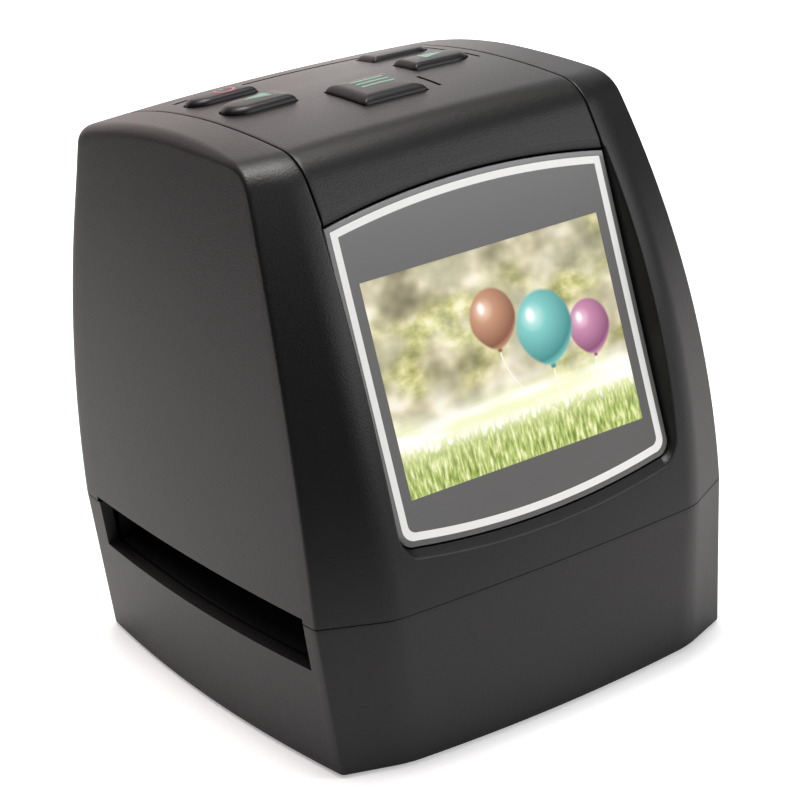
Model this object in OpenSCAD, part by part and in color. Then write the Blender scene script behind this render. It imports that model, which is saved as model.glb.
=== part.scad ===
// Desk-top film scanner: a two-part case with a film slot that runs through it from side
// to side, a top cover with five buttons, and a tilted screen in front.
// X runs to the right, Y to the back, Z up. The origin is on the ground plane, under the
// middle of the case. All sizes are in millimetres.

/* [Case] */
// Depth of the case over the front and rear bulges
case_depth = 89.6; // [87:0.1:92]
// Half width of the case at its front corners, on the parting line
corner_half_width = 42.15; // [41:0.05:45]
// Height of the parting line between the lower and the upper housing
parting_z = 27.8; // [27:0.1:29]
// Height of the highest point of the top cover
top_z = 101.8; // [100:0.1:106]
// Wall thickness of the housings and the cover
wall = 2; // [1.6:0.1:2.4]
// Gap between the top cover and the upper housing
seam_gap = 0.25; // [0.15:0.05:0.4]
// Outward bulge of each side at mid depth, on the parting line
side_bulge = 1.4; // [0.8:0.1:2]
// Outward bulge of the front, on the parting line
front_bulge = 0.9; // [0.4:0.1:1.4]
// Outward bulge of the rear
rear_bulge = 0.4; // [0.2:0.1:0.8]
// Set-back of the front corner creases behind the front edge
facet_depth = 6.3; // [5:0.1:8]
// Half width of the front face between its two corner facets
front_half_width = 31.9; // [30.5:0.1:33]
// Radius of the front curve, seen from the side
front_radius = 142; // [136:1:160]
// Radius of the lean of the corner creases, seen from the side
crease_radius = 174; // [165:1:190]
// Radius of the forward lean of the rear, seen from the side
rear_radius = 340; // [320:5:500]
// Radius of the inward lean of the sides, seen from the front
side_radius = 445; // [400:5:500]
// Radius of the edges between the sides and the top
edge_radius = 3; // [2:0.1:4]
// Radius of the rear corners, seen from above
rear_corner = 3; // [1.5:0.1:4]
// Half width of the top cover
cover_half_width = 27.5; // [26:0.1:28.5]
// Lowest edge of the top cover on the rear
cover_rear_z = 85.7; // [84:0.1:88]

/* [Top] */
// Distance of the highest line of the top behind the middle of the case
crown_y = 1.9; // [1:0.1:4]
// Radius of the top in front of its highest line
top_front_radius = 222; // [200:1:260]
// Radius of the top behind its highest line
top_rear_radius = 140; // [130:1:200]
// Radius of the front shoulder
shoulder_radius = 9; // [8:0.1:10]
// Radius of the rear shoulder
rear_shoulder_radius = 5.5; // [4.5:0.1:8]

/* [Screen] */
// Backward tilt of the screen window in degrees
tilt = 14.3; // [13:0.1:15.5]
// Height of the middle of the screen window
window_z = 63.7; // [62.7:0.1:64.7]
// Set-back of the middle of the window behind the front edge
window_set = 8.8; // [8:0.1:9.2]
// Half width of the window panel
window_half_width = 27.6; // [26.6:0.1:28]
// Height of the window panel at its upper corners, from its middle
window_up = 26.3; // [25.5:0.1:26.8]
// Depth of the window panel at its lower corners, from its middle
window_down = 26.3; // [25.5:0.1:26.8]
// Rise of the arched upper edge
window_arch = 2.6; // [2:0.1:3]
// Fall of the curved lower edge
window_belly = 2.1; // [1.5:0.1:2.6]
// Thickness of the window panel
window_t = 1.2; // [0.8:0.1:1.6]
// Radius of the lower corners of the window panel
window_corner = 2.2; // [1:0.1:3]
// Gap around the window panel
window_gap = 0.3; // [0.2:0.05:0.5]
// Width of the visible picture
picture_w = 47.2; // [46:0.1:48.9]
// Height of the visible picture
picture_h = 35.6; // [34:0.1:36.7]
// Width of the screen module
lcd_w = 60.2; // [58:0.1:60.5]
// Height of the screen module
lcd_h = 42.8; // [42:0.1:43.5]
// Thickness of the screen module
lcd_t = 2.3; // [1.8:0.1:2.6]

/* [Film slot] */
// Distance from the front edge of the case to the front end of the film slot
slot_front_set = 10.6; // [10:0.1:12]
// Distance from the rear edge of the case to the rear end of the film slot
slot_rear_set = 9; // [8.8:0.1:10]
// Height of the floor of the film slot
slot_floor = 19.7; // [18.5:0.1:20.5]
// Height of the roof of the film slot
slot_roof = 28.7; // [28.2:0.1:29.2]
// Depth of the bevel around the mouths of the slot
slot_bevel = 1.2; // [0.8:0.1:1.5]

/* [Buttons] */
// Length of the four long buttons
key_w = 12.4; // [11.6:0.1:12.8]
// Depth of the front pair of long buttons
key_front_d = 7.2; // [6.8:0.1:7.4]
// Depth of the rear pair of long buttons
key_rear_d = 6.2; // [5.8:0.1:6.5]
// Size of the square middle button
ok_size = 12.6; // [11.6:0.1:13]
// Distance of the long buttons' middles from the middle line
key_x = 18.1; // [17.6:0.1:18.3]
// Middle of the front pair of long buttons
key_front_y = 4.2; // [3.9:0.1:4.3]
// Middle of the rear pair of long buttons
key_rear_y = 16.7; // [16.6:0.1:17]
// Middle of the square button
ok_y = -5; // [-5.4:0.1:-4.6]
// Height of the buttons above the cover
key_proud = 1.3; // [1.1:0.1:2]
// Travel of each button
key_travel = 0.5; // [0.3:0.05:0.6]
// Gap between a button and its guide
key_gap = 0.15; // [0.1:0.05:0.2]

/* [Inside] */
// Thickness of the circuit boards
board_t = 1.6; // [1.2:0.1:2]
// Height of the underside of the main board
main_board_z = 74.7; // [73.7:0.1:75.7]
// Radius of the lens barrel
lens_r = 7; // [6:0.1:8]
// Height of the rubber feet
foot_h = 0.5; // [0.4:0.1:1]
// Radius of the rubber feet
foot_r = 5; // [4:0.1:6]

/* [Hidden] */
$fn = 48;
tiny = 0.01;
half_depth = case_depth / 2;
slot_front = half_depth - slot_front_set;
slot_rear = half_depth - slot_rear_set;

// Slopes of the lower housing: how far it draws in for each millimetre of drop.
base_side_slope = 0.071;
base_front_slope = 0.088;
base_crease_slope = 0.0135;
base_width_slope = 0.05;
rear_lean = 0.02;
base_bulge_more = 1;
base_front_bulge_more = 0.8;
bottom_edge = 0.3;
front_wide_z = 52.7;
front_width_radius = 357;

// Sagitta of a circle of radius r at a distance d from its middle.
function sag(r, d) = r - sqrt(r * r - d * d);
function above(z) = max(0, z - parting_z);
function below(z) = max(0, parting_z - z);

// Plan outline at height z: creases, front edge, rear edge and bulges.
function crease_x(z) = corner_half_width - sag(side_radius, above(z)) - base_side_slope * below(z)
    - edge_inset(z);
function crease_y(z) = -half_depth + front_bulge + facet_depth + sag(crease_radius, above(z))
    + base_crease_slope * below(z);
function front_x(z) = front_half_width - sag(front_width_radius, max(z, parting_z) - front_wide_z)
    - base_width_slope * below(z);
function front_y(z) = -half_depth + front_bulge + sag(front_radius, above(z))
    + base_front_slope * below(z);
function rear_y(z) = half_depth - rear_bulge - rear_lean * z - sag(rear_radius, above(z));
function bulge_x(z) = side_bulge * (1 - above(z) / (top_z - parting_z))
    + base_bulge_more * below(z) / parting_z;
function bulge_front(z) = front_bulge * (1 - 0.7 * above(z) / (top_z - parting_z))
    + base_front_bulge_more * below(z) / parting_z;
// Rounding of the edge between side and top.
edge_start = top_z - edge_radius;
function edge_inset(z) = z > edge_start ? sag(edge_radius, min(edge_radius, z - edge_start)) : 0;

// One ring of the case at height z, drawn in by w, anticlockwise seen from above.
front_steps = 10;
side_steps = 10;
corner_steps = 3;
rear_steps = 6;
function side_x(t, z) = crease_x(z) + bulge_x(z) * (1 - pow(2 * t - 1, 2));
function ring(z, w) =
    let (fx = front_x(z) - w / 2, fy = front_y(z) + w, cx = crease_x(z) - w,
         cy = crease_y(z) + w / 2, ry = rear_y(z) - w, r = rear_corner)
    concat(
        [for (i = [0:front_steps]) let (t = -1 + 2 * i / front_steps)
            [fx * t, fy - bulge_front(z) * (1 - t * t), z]],
        [for (i = [0:side_steps]) let (t = i / side_steps)
            [side_x(t, z) - w, cy + (ry - r - cy) * t, z]],
        [for (i = [1:corner_steps]) let (a = 90 * i / corner_steps)
            [cx - r + r * cos(a), ry - r + r * sin(a), z]],
        [for (i = [1:rear_steps - 1]) let (t = 1 - 2 * i / rear_steps)
            [(cx - r) * t, ry + rear_bulge * (1 - t * t), z]],
        [for (i = [corner_steps:-1:1]) let (a = 90 * i / corner_steps)
            [-(cx - r + r * cos(a)), ry - r + r * sin(a), z]],
        [for (i = [side_steps:-1:0]) let (t = i / side_steps)
            [-(side_x(t, z) - w), cy + (ry - r - cy) * t, z]]);

// Closed skin over a stack of rings.
module loft(rings) {
    n = len(rings[0]);
    m = len(rings);
    faces = concat(
        [[for (i = [0:n - 1]) i]],
        [[for (i = [n - 1:-1:0]) (m - 1) * n + i]],
        [for (j = [0:m - 2], i = [0:n - 1])
            [j * n + i, (j + 1) * n + i, j * n + (i + 1) % n]],
        [for (j = [0:m - 2], i = [0:n - 1])
            [j * n + (i + 1) % n, (j + 1) * n + i, (j + 1) * n + (i + 1) % n]]);
    polyhedron([for (r = rings) each r], faces, convexity = 6);
}

// Side profile of the top, drawn in by w: front line, front shoulder, top, rear shoulder.
top_step = 4;
shoulder_front_set = 26;
shoulder_front_y = -half_depth + shoulder_front_set;
front_normal = 61.5;
front_centre_z = top_z - top_front_radius;
rear_centre_z = top_z - top_rear_radius;
rear_slope = atan(rear_lean + (top_z - rear_shoulder_radius - parting_z) / rear_radius);
rear_normal = 90 - rear_slope;
rear_shoulder_y = rear_y(top_z - 1.5 * rear_shoulder_radius) + rear_bulge / 2
    - rear_shoulder_radius / cos(rear_slope);
front_angle = asin((crown_y - shoulder_front_y) / top_front_radius);
rear_angle = asin((rear_shoulder_y - crown_y) / (top_rear_radius - rear_shoulder_radius));
shoulder_rear_y = crown_y + top_rear_radius * sin(rear_angle);
function arc(cy, cz, r, from, to, n) =
    [for (i = [0:n]) let (a = from + (to - from) * i / n) [cy + r * sin(a), cz + r * cos(a)]];
shoulder_y = crown_y - (top_front_radius - shoulder_radius) * sin(front_angle);
shoulder_z = front_centre_z + (top_front_radius - shoulder_radius) * cos(front_angle);
rear_shoulder_z = rear_centre_z + (top_rear_radius - rear_shoulder_radius) * cos(rear_angle);
reach = 70;
function top_profile(w) = concat(
    [[shoulder_y - (shoulder_radius - w) * sin(front_normal) - reach * cos(front_normal),
      shoulder_z + (shoulder_radius - w) * cos(front_normal) - reach * sin(front_normal)]],
    arc(shoulder_y, shoulder_z, shoulder_radius - w, -front_normal, -front_angle, 8),
    arc(crown_y, front_centre_z, top_front_radius - w, -front_angle, 0, top_step),
    arc(crown_y, rear_centre_z, top_rear_radius - w, top_step, rear_angle, top_step),
    arc(rear_shoulder_y, rear_shoulder_z, rear_shoulder_radius - w, rear_angle, rear_normal, 8),
    [[rear_shoulder_y + reach, rear_shoulder_z], [rear_shoulder_y + reach, -reach],
     [-reach, -reach]]);
// Height of the top at a distance y from the middle.
function top_at(y) = y < crown_y ? top_z - sag(top_front_radius, y - crown_y)
    : top_z - sag(top_rear_radius, y - crown_y);

// Extrudes a profile drawn in Y and Z from x = -half to x = half.
module along_x(half) {
    translate([-half, 0, 0])
        rotate([90, 0, 90])
            linear_extrude(2 * half) children();
}

// Solid between heights z0 and z1, drawn in by w.
outer_pitch = 7;
inner_pitch = 14;
module case_body(z0, z1, w) {
    steps = max(2, ceil((min(z1, edge_start) - z0) / (w > 0 ? inner_pitch : outer_pitch)));
    low = [for (i = [0:steps]) z0 + (min(z1, edge_start) - z0) * i / steps];
    high = z1 > edge_start ? [for (i = [1:4]) edge_start + (edge_radius - tiny) * sin(22.5 * i)] : [];
    intersection() {
        loft([for (z = concat(low, high)) ring(z, w)]);
        if (z1 > shoulder_z)
            along_x(corner_half_width + side_bulge + wall) polygon(top_profile(w));
    }
}

// Places children on the window plane: X across, Y up the plane, Z out of the case.
module on_window() {
    translate([0, -(half_depth - window_set), window_z])
        rotate([90 - tilt, 0, 0]) children();
}

// Outline of the window panel grown by g.
arch_steps = 12;
module window_outline(g = 0) {
    hw = window_half_width + g;
    r = window_corner + g;
    polygon(concat(
        [for (i = [0:arch_steps]) let (t = 1 - 2 * i / arch_steps)
            [hw * t, window_up + g + window_arch * (1 - t * t)]],
        [for (i = [0:3]) let (a = 180 + 90 * i / 3)
            [-hw + r + r * cos(a), -window_down - g + r + r * sin(a)]],
        [for (i = [1:arch_steps - 1]) let (t = -1 + 2 * i / arch_steps)
            [(hw - r) * t, -window_down - g - window_belly * (1 - t * t)]],
        [for (i = [0:3]) let (a = 270 + 90 * i / 3)
            [hw - r + r * cos(a), -window_down - g + r + r * sin(a)]]));
}

// Flared well of the window: outline grown by g at the panel, wider towards the outside.
well_out = 8;
well_flare = 2.4;
well_drop = 10;
module window_well(g, depth) {
    hull() {
        on_window() translate([0, 0, -depth]) linear_extrude(depth) window_outline(g);
        on_window() translate([0, -well_drop / 2, well_out])
            scale([1, 1 + well_drop / (window_up + window_down), 1])
                linear_extrude(tiny) window_outline(g + well_flare);
    }
}

// Upper skin with the window well set into it.
floor_t = 2;
module upper_skin() {
    difference() {
        case_body(parting_z, top_z, 0);
        difference() {
            case_body(parting_z - tiny, top_z, wall);
            window_well(window_gap + wall, window_t + floor_t);
        }
    }
}

// Band of the top cover, grown by g: over the top and down to the rear edge.
module cover_band(g) {
    step_y = shoulder_rear_y - rear_shoulder_radius;
    along_x(cover_half_width + g)
        polygon([[-reach, window_z], [-reach, top_z + reach], [reach, top_z + reach],
                 [reach, cover_rear_z - g], [step_y, cover_rear_z - g], [step_y, window_z]]);
}

// Film slot through the case, with a bevel along the lower and rear edges of each mouth.
slot_len = slot_front + slot_rear;
slot_mid = (slot_rear - slot_front) / 2;
slot_h = slot_roof - slot_floor;
side_reach = corner_half_width + side_bulge;
module slot_cut() {
    translate([-2 * side_reach, -slot_front, slot_floor])
        cube([4 * side_reach, slot_len, slot_h]);
    for (side = [-1, 1])
        hull() {
            translate([side * (side_reach - 3.2), slot_mid, slot_floor + slot_h / 2])
                cube([tiny, slot_len, slot_h], center = true);
            translate([side * (side_reach + 1), slot_mid + slot_bevel / 2,
                       slot_floor + slot_h / 2 - slot_bevel / 2])
                cube([tiny, slot_len + slot_bevel, slot_h + slot_bevel], center = true);
        }
}

// Screw columns that join the two housings.
column_x = 28;
column_front_y = -half_depth + 6.4;
column_rear_y = half_depth - 4.9;
column_r = 2.4;
column_bore = 1.15;
column_top = parting_z + 9.5;
screw_end = parting_z + 7;
screw_r = 1.1;
head_r = 1.9;
head_h = 1.6;
module at_columns() {
    for (side = [-1, 1], y = [column_front_y, column_rear_y])
        translate([side * column_x, y, 0]) children();
}

// Posts under the film bed and feet recesses.
post_x = 30;
post_front = slot_front - 4;
post_rear = slot_rear - 4;
bed_t = 3;
bed_z = slot_floor - bed_t;
foot_x = 32;
foot_front_y = -half_depth + 15.2;
foot_rear_y = half_depth - 11.2;
foot_sink = 0.6;
foot_places = [[-foot_x, foot_front_y], [foot_x, foot_front_y],
               [-foot_x, foot_rear_y], [foot_x, foot_rear_y]];
module bottom_housing() {
    color("#262628") difference() {
        union() {
            difference() {
                loft([ring(foot_h, bottom_edge), ring(foot_h + bottom_edge, 0), ring(8, 0),
                      ring(14, 0), ring(21, 0), ring(parting_z, 0)]);
                loft([ring(foot_h + floor_t, wall), ring(14, wall), ring(parting_z + tiny, wall)]);
            }
            at_columns() translate([0, 0, foot_h + 1]) cylinder(r = column_r, h = parting_z - foot_h - 1);
            for (side = [-1, 1], y = [-post_front, post_rear])
                translate([side * post_x, y, foot_h + 1])
                    cylinder(r = 2, h = bed_z - foot_h - 1);
            for (side = [-1, 1], y = [-12, 12])
                translate([side * 15, slot_mid + y, foot_h + 1])
                    cylinder(r = 2, h = led_board_z - foot_h - 1);
            // Tongue that locates the upper housing.
            for (side = [-1, 1]) {
                translate([side * 12 - 6, front_y(parting_z) + wall - 0.6, parting_z - 5])
                    cube([12, 1.4, 6.5]);
                translate([side * 12 - 6, rear_y(parting_z) - wall - 0.8, parting_z - 5])
                    cube([12, 1.4, 6.5]);
            }
        }
        slot_cut();
        at_columns() translate([0, 0, -1]) cylinder(r = screw_r + 0.15, h = parting_z + 2);
        at_columns() translate([0, 0, -1]) cylinder(r = head_r + 0.15, h = foot_h + head_h + 1.4);
        for (p = foot_places)
            translate([p[0], p[1], -1]) cylinder(r = foot_r + 0.1, h = foot_h + foot_sink + 1);
    }
}

// Ledge under the edges of the top cover.
ledge_in = 2;
ledge_out = 2;
ledge_t = 1.6;
module cover_ledge() {
    intersection() {
        difference() {
            case_body(parting_z, top_z, wall - 0.6);
            case_body(parting_z - 1, top_z, wall + ledge_t);
        }
        difference() {
            translate([-cover_half_width - ledge_out, shoulder_front_y - 3, cover_rear_z - ledge_out])
                cube([2 * (cover_half_width + ledge_out), reach, reach]);
            translate([-cover_half_width + ledge_in, -reach, cover_rear_z + ledge_in])
                cube([2 * (cover_half_width - ledge_in), 2 * reach, reach]);
        }
    }
}

// Rear sockets: the openings take their places from these values.
socket_z = main_board_z + board_t;
usb_x = -17;
usb_w = 7.6;
usb_h = 3;
card_x = 2;
card_w = 27;
card_h = 3.4;
card_mouth_w = 24.4;
card_mouth_h = 2.5;
jack_x = 24;
jack_w = 7;
jack_r = 1.8;
jack_h = 6;
socket_gap = 0.3;
board_rear_y = half_depth - 9.6;
board_front_y = -half_depth + 38.2;
rear_inside_y = rear_y(socket_z) - wall;

// Shelves for the main board on the side walls.
board_half_w = 31;
shelf_x = 26.6;
shelf_h = 7;
board_screw_x = shelf_x + 2.6;
shelf_ys = [board_front_y + 6, board_rear_y - 7];
screw_small = 0.9;
rail_t = 1.4;
guide_z = slot_roof + 0.2;
guide_t = 2;

module upper_housing() {
    color("#2b2b2d") difference() {
        union() {
            upper_skin();
            cover_ledge();
            at_columns() translate([0, 0, parting_z]) cylinder(r = column_r, h = column_top - parting_z);
            for (side = [-1, 1]) {
                translate([side * column_x - 1, front_y(parting_z) + 1, parting_z])
                    cube([2, column_front_y - front_y(parting_z) - 1.2, column_top - parting_z]);
            }
            for (side = [-1, 1], y = shelf_ys)
                translate([0, y + 3, main_board_z]) rotate([90, 0, 0]) linear_extrude(6)
                    polygon([[side * shelf_x, 0], [side * crease_x(main_board_z), 0],
                             [side * crease_x(main_board_z), -shelf_h - 2], [side * shelf_x, -1.5]]);
        }
        cover_cut();
        window_well(window_gap, window_t);
        on_window() translate([-lcd_view_w / 2, picture_mid - lcd_view_h / 2, -window_t - floor_t - 1])
            cube([lcd_view_w, lcd_view_h, floor_t + 2]);
        slot_cut();
        at_columns() translate([0, 0, parting_z - 1]) cylinder(r = column_bore, h = screw_end - parting_z + 2);
        rear_openings();
        for (side = [-1, 1], y = shelf_ys)
            translate([side * board_screw_x, y, main_board_z - 6])
                cylinder(r = screw_small, h = 6);
        tongue_room();
    }
}

module cover_cut() {
    difference() {
        cover_band(seam_gap);
        case_body(parting_z, top_z, wall + 0.05);
    }
    // Opening inside the ledge, which the cover closes.
    translate([-cover_half_width + ledge_in, shoulder_front_y - 3, cover_rear_z + ledge_in])
        cube([2 * (cover_half_width - ledge_in), shoulder_rear_y - shoulder_front_y + 20, reach]);
}

module tongue_room() {
    for (side = [-1, 1]) {
        translate([side * 12 - 6.2, front_y(parting_z) + wall - 0.75, parting_z - 1])
            cube([12.4, 2, 2.7]);
        translate([side * 12 - 6.2, rear_y(parting_z) - wall - 1.4, parting_z - 1])
            cube([12.4, 2.15, 2.7]);
    }
}

module rear_openings() {
    translate([usb_x - usb_w / 2 - socket_gap, rear_inside_y - 4, socket_z - socket_gap])
        cube([usb_w + 2 * socket_gap, 12, usb_h + 2 * socket_gap]);
    translate([card_x - card_w / 2 - socket_gap, rear_inside_y - 4, socket_z - socket_gap])
        cube([card_w + 2 * socket_gap, 12, card_h + 2 * socket_gap]);
    translate([jack_x, rear_inside_y - 4, socket_z + jack_h / 2])
        rotate([-90, 0, 0]) cylinder(r = jack_h / 2 + socket_gap, h = 12);
}

// Top cover with collars that guide the buttons and posts for the button board.
collar_wall = 1;
collar_z = top_z - 4.6;
flange_t = 1.2;
flange_wide = 0.7;
switch_h = 3.5;
switch_w = 6;
stem_r = 1.7;
stem_up = 0.7;
button_board_z = collar_z - flange_t - stem_up - switch_h - board_t;
board_post_x = 18;
board_post_ys = [-9.2, (key_front_y + key_front_d / 2 + key_rear_y - key_rear_d / 2) / 2];
board_post_r = 1.9;
keys = [[-key_x, key_rear_y], [key_x, key_rear_y], [-key_x, key_front_y], [key_x, key_front_y]];

// Outline of a long button of depth d grown by g: its outer end is round, its inner end is square.
end_steps = 12;
module key_outline(side, d, g = 0) {
    r = d / 2 + g;
    end_x = key_w / 2 - d / 2;
    polygon(concat(
        [[-side * (key_w / 2 + g), r], [-side * (key_w / 2 + g), -r]],
        [for (i = [0:end_steps]) let (a = -90 + 180 * i / end_steps)
            [side * (end_x + r * cos(a)), r * sin(a)]]));
}
module ok_outline(g = 0) {
    square(ok_size + 2 * g, center = true);
}
module outline_of(i, g = 0) {
    if (i < 4) translate(keys[i])
        key_outline(keys[i][0] < 0 ? -1 : 1, i < 2 ? key_rear_d : key_front_d, g);
    else translate([0, ok_y]) ok_outline(g);
}

groove_w = 0.5;
groove_deep = 0.5;
// Engraved lines: one behind the buttons and down past their right end, one beside the square button.
module groove(points) {
    for (i = [0:len(points) - 2]) {
        p = points[i];
        q = points[i + 1];
        len_pq = norm(q - p);
        translate([p[0], p[1], 0])
            rotate([0, 0, atan2(q[1] - p[1], q[0] - p[0])])
                translate([-groove_w / 2, -groove_w / 2, 0])
                    cube([len_pq + groove_w, groove_w, reach]);
    }
}
groove_turn_r = key_rear_d / 2 + 1;
groove_turn_x = key_x + key_w / 2 - key_rear_d / 2;
long_groove = concat(
    [[-key_x - 5.4, key_rear_y + 6.3], [-key_x - 2.9, key_rear_y + 6.9], [-key_x + 4.1, key_rear_y + 7.2],
     [-key_x + 11.1, key_rear_y + 7.3], [0, key_rear_y + 7], [8, key_rear_y + 6.2],
     [14, key_rear_y + 5.2]],
    [for (a = [80:-18:-10])
        [groove_turn_x + groove_turn_r * cos(a), key_rear_y + groove_turn_r * sin(a)]],
    [[key_x + 6.8, key_front_y + 9.3], [key_x + 6.8, key_front_y + 5], [key_x + 7, key_front_y],
     [key_x + 7.1, key_front_y - 3.7]]);
ok_groove = [[key_x - 8.4, key_front_y - 7.1], [key_x - 8.8, key_front_y - 14.7]];

module top_cover() {
    color("#2b2b2d") difference() {
        union() {
            intersection() {
                difference() {
                    case_body(parting_z, top_z, 0);
                    case_body(parting_z - 1, top_z, wall);
                }
                cover_band(0);
            }
            intersection() {
                case_body(parting_z, top_z, wall / 2);
                union() {
                    for (i = [0:4])
                        translate([0, 0, collar_z]) linear_extrude(top_z - collar_z)
                            outline_of(i, key_gap + collar_wall);
                    for (side = [-1, 1], y = board_post_ys)
                        translate([side * board_post_x, y, button_board_z + board_t])
                            cylinder(r = board_post_r, h = top_z - button_board_z - board_t);
                }
            }
        }
        window_well(window_gap + 0.25, 14);
        for (i = [0:4])
            translate([0, 0, collar_z - 1]) linear_extrude(reach) outline_of(i, key_gap);
        for (side = [-1, 1], y = board_post_ys)
            translate([side * board_post_x, y, button_board_z]) cylinder(r = screw_small, h = 7);
        difference() {
            union() {
                groove(long_groove);
                groove(ok_groove);
            }
            along_x(reach) polygon(top_profile(groove_deep));
        }
    }
}

module screen_window() {
    color("#6c6c6e") on_window() translate([0, 0, -window_t]) linear_extrude(window_t) window_outline();
}

// Screen module, its frame and ribbon, all on the window plane.
picture_mid = -1.2;
lcd_view_w = picture_w + 2;
lcd_view_h = picture_h + 1.4;
lcd_back = -window_t - floor_t - lcd_t;
frame_wall = 2;
frame_back_t = 1.5;
module lcd_panel() {
    color("#9fb27c") on_window()
        translate([-lcd_w / 2, picture_mid - lcd_h / 2, lcd_back]) cube([lcd_w, lcd_h, lcd_t]);
}
ribbon_w = 20;
ribbon_t = 0.3;
frame_gap = 0.1;
module lcd_frame() {
    color("#3c3c3e") on_window() difference() {
        translate([-lcd_w / 2 - frame_wall, picture_mid - lcd_h / 2 - frame_wall, lcd_back - frame_back_t])
            cube([lcd_w + 2 * frame_wall, lcd_h + 2 * frame_wall, lcd_t + frame_back_t]);
        translate([-lcd_w / 2 - frame_gap, picture_mid - lcd_h / 2 - frame_gap, lcd_back])
            cube([lcd_w + 2 * frame_gap, lcd_h + 2 * frame_gap, lcd_t + 1]);
        translate([-ribbon_w / 2 - 1, picture_mid - 6, lcd_back - frame_back_t - 1])
            cube([ribbon_w + 2, 12, frame_back_t + 2]);
    }
}
module lcd_ribbon() {
    color("#c98a3a") hull() {
        on_window() translate([-ribbon_w / 2, picture_mid - 1, lcd_back - ribbon_t])
            cube([ribbon_w, 2, ribbon_t]);
        on_window() translate([-ribbon_w / 2, picture_mid - 1, lcd_back - frame_back_t - 3])
            cube([ribbon_w, 2, ribbon_t]);
    }
    color("#c98a3a") hull() {
        on_window() translate([-ribbon_w / 2, picture_mid - 1, lcd_back - frame_back_t - 3])
            cube([ribbon_w, 2, ribbon_t]);
        translate([-ribbon_w / 2, board_front_y + 1, main_board_z - ribbon_t])
            cube([ribbon_w, 3, ribbon_t]);
    }
}

// Main board with its chips and sockets.
module main_board() {
    color("#1f6b3f") difference() {
        translate([-board_half_w, board_front_y, main_board_z])
            cube([2 * board_half_w, board_rear_y - board_front_y, board_t]);
        for (side = [-1, 1], y = shelf_ys)
            translate([side * board_screw_x, y, main_board_z - 1])
                cylinder(r = screw_small + 0.2, h = board_t + 2);
    }
}
// Chips, placed and sized by the strip of the board in front of the card socket.
card_len = 22;
chip_strip = board_rear_y - card_len - board_front_y;
module main_chips() {
    color("#1a1a1c") translate([0, board_front_y, socket_z]) {
        translate([-18, 0.35 * chip_strip, 0]) cube([12, 0.6 * chip_strip, 1.2]);
        translate([0, 0.45 * chip_strip, 0]) cube([10, 0.4 * chip_strip, 1]);
        translate([14, 0.4 * chip_strip, 0]) cube([5, 0.3 * chip_strip, 1.4]);
        translate([-4, 0.13 * chip_strip, 0]) cube([14, 0.15 * chip_strip, 1.5]);
    }
}
module usb_socket() {
    color("#b9bcc0") difference() {
        translate([usb_x - usb_w / 2, board_rear_y - 6, socket_z])
            cube([usb_w, rear_y(socket_z) - board_rear_y + 5.4, usb_h]);
        translate([usb_x - usb_w / 2 + 0.4, board_rear_y - 4, socket_z + 0.4])
            cube([usb_w - 0.8, 20, usb_h - 0.8]);
    }
    color("#222224") translate([usb_x - usb_w / 2 + 1.6, board_rear_y - 4, socket_z + 1.1])
        cube([usb_w - 3.2, 5, 0.8]);
}
module card_socket() {
    color("#aeb1b5") difference() {
        translate([card_x - card_w / 2, board_rear_y - card_len, socket_z])
            cube([card_w, rear_y(socket_z) - board_rear_y + card_len - 1, card_h]);
        translate([card_x - card_mouth_w / 2, board_rear_y - card_len + 2,
                   socket_z + (card_h - card_mouth_h) / 2])
            cube([card_mouth_w, 40, card_mouth_h]);
    }
}
module tv_jack() {
    color("#1d1d1f") difference() {
        union() {
            translate([jack_x - jack_w / 2, board_rear_y - 9, socket_z]) cube([jack_w, 9, jack_h]);
            translate([jack_x, board_rear_y - 1, socket_z + jack_h / 2])
                rotate([-90, 0, 0]) cylinder(r = jack_h / 2, h = rear_y(socket_z) - board_rear_y + 0.6);
        }
        translate([jack_x, board_rear_y - 8, socket_z + jack_h / 2])
            rotate([-90, 0, 0]) cylinder(r = jack_r, h = 30);
    }
}

// Film bed: the slot's floor between its mouths, with rails that carry the upper guide.
bed_gap = 0.4;
gate_w = 38;
gate_d = 27;
diffuser_t = 1.6;
rim = 1.5;
detent_x = 0;
detent_y = -slot_front + 4;
detent_r = 1.5;
detent_flange_r = 2;
rail_set = 0.2;
// Strip of the case's inside at height z, from y0 to y1.
module inside_strip(z, y0, y1) {
    intersection() {
        polygon([for (p = ring(z, wall + bed_gap)) [p[0], p[1]]]);
        translate([-side_reach, y0]) square([2 * side_reach, y1 - y0]);
    }
}
module film_bed() {
    color("#1b1b1d") difference() {
        union() {
            translate([0, 0, bed_z]) linear_extrude(bed_t)
                inside_strip(bed_z, -slot_front - rail_t - rail_set, slot_rear + rail_t + rail_set);
            for (y = [-slot_front - rail_t - rail_set, slot_rear + rail_set])
                translate([0, 0, bed_z]) linear_extrude(guide_z - bed_z)
                    inside_strip(bed_z, y, y + rail_t);
            translate([detent_x, detent_y, bed_z - 5]) cylinder(r = detent_flange_r + 1.1, h = 5 + bed_t);
        }
        translate([-gate_w / 2, slot_mid - gate_d / 2, bed_z - 1]) cube([gate_w, gate_d, bed_t + 2]);
        translate([-gate_w / 2 - rim, slot_mid - gate_d / 2 - rim, slot_floor - diffuser_t])
            cube([gate_w + 2 * rim, gate_d + 2 * rim, diffuser_t + 1]);
        translate([detent_x, detent_y, bed_z]) cylinder(r = detent_r + 0.05, h = 20);
        translate([detent_x, detent_y, spring_low]) cylinder(r = detent_flange_r + 0.05, h = shoulder_low - spring_low);
    }
}
module diffuser() {
    color("#f2f2ee") translate([-gate_w / 2 - rim + 0.1, slot_mid - gate_d / 2 - rim + 0.1, slot_floor - diffuser_t])
        cube([gate_w + 2 * rim - 0.2, gate_d + 2 * rim - 0.2, diffuser_t]);
}
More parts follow.
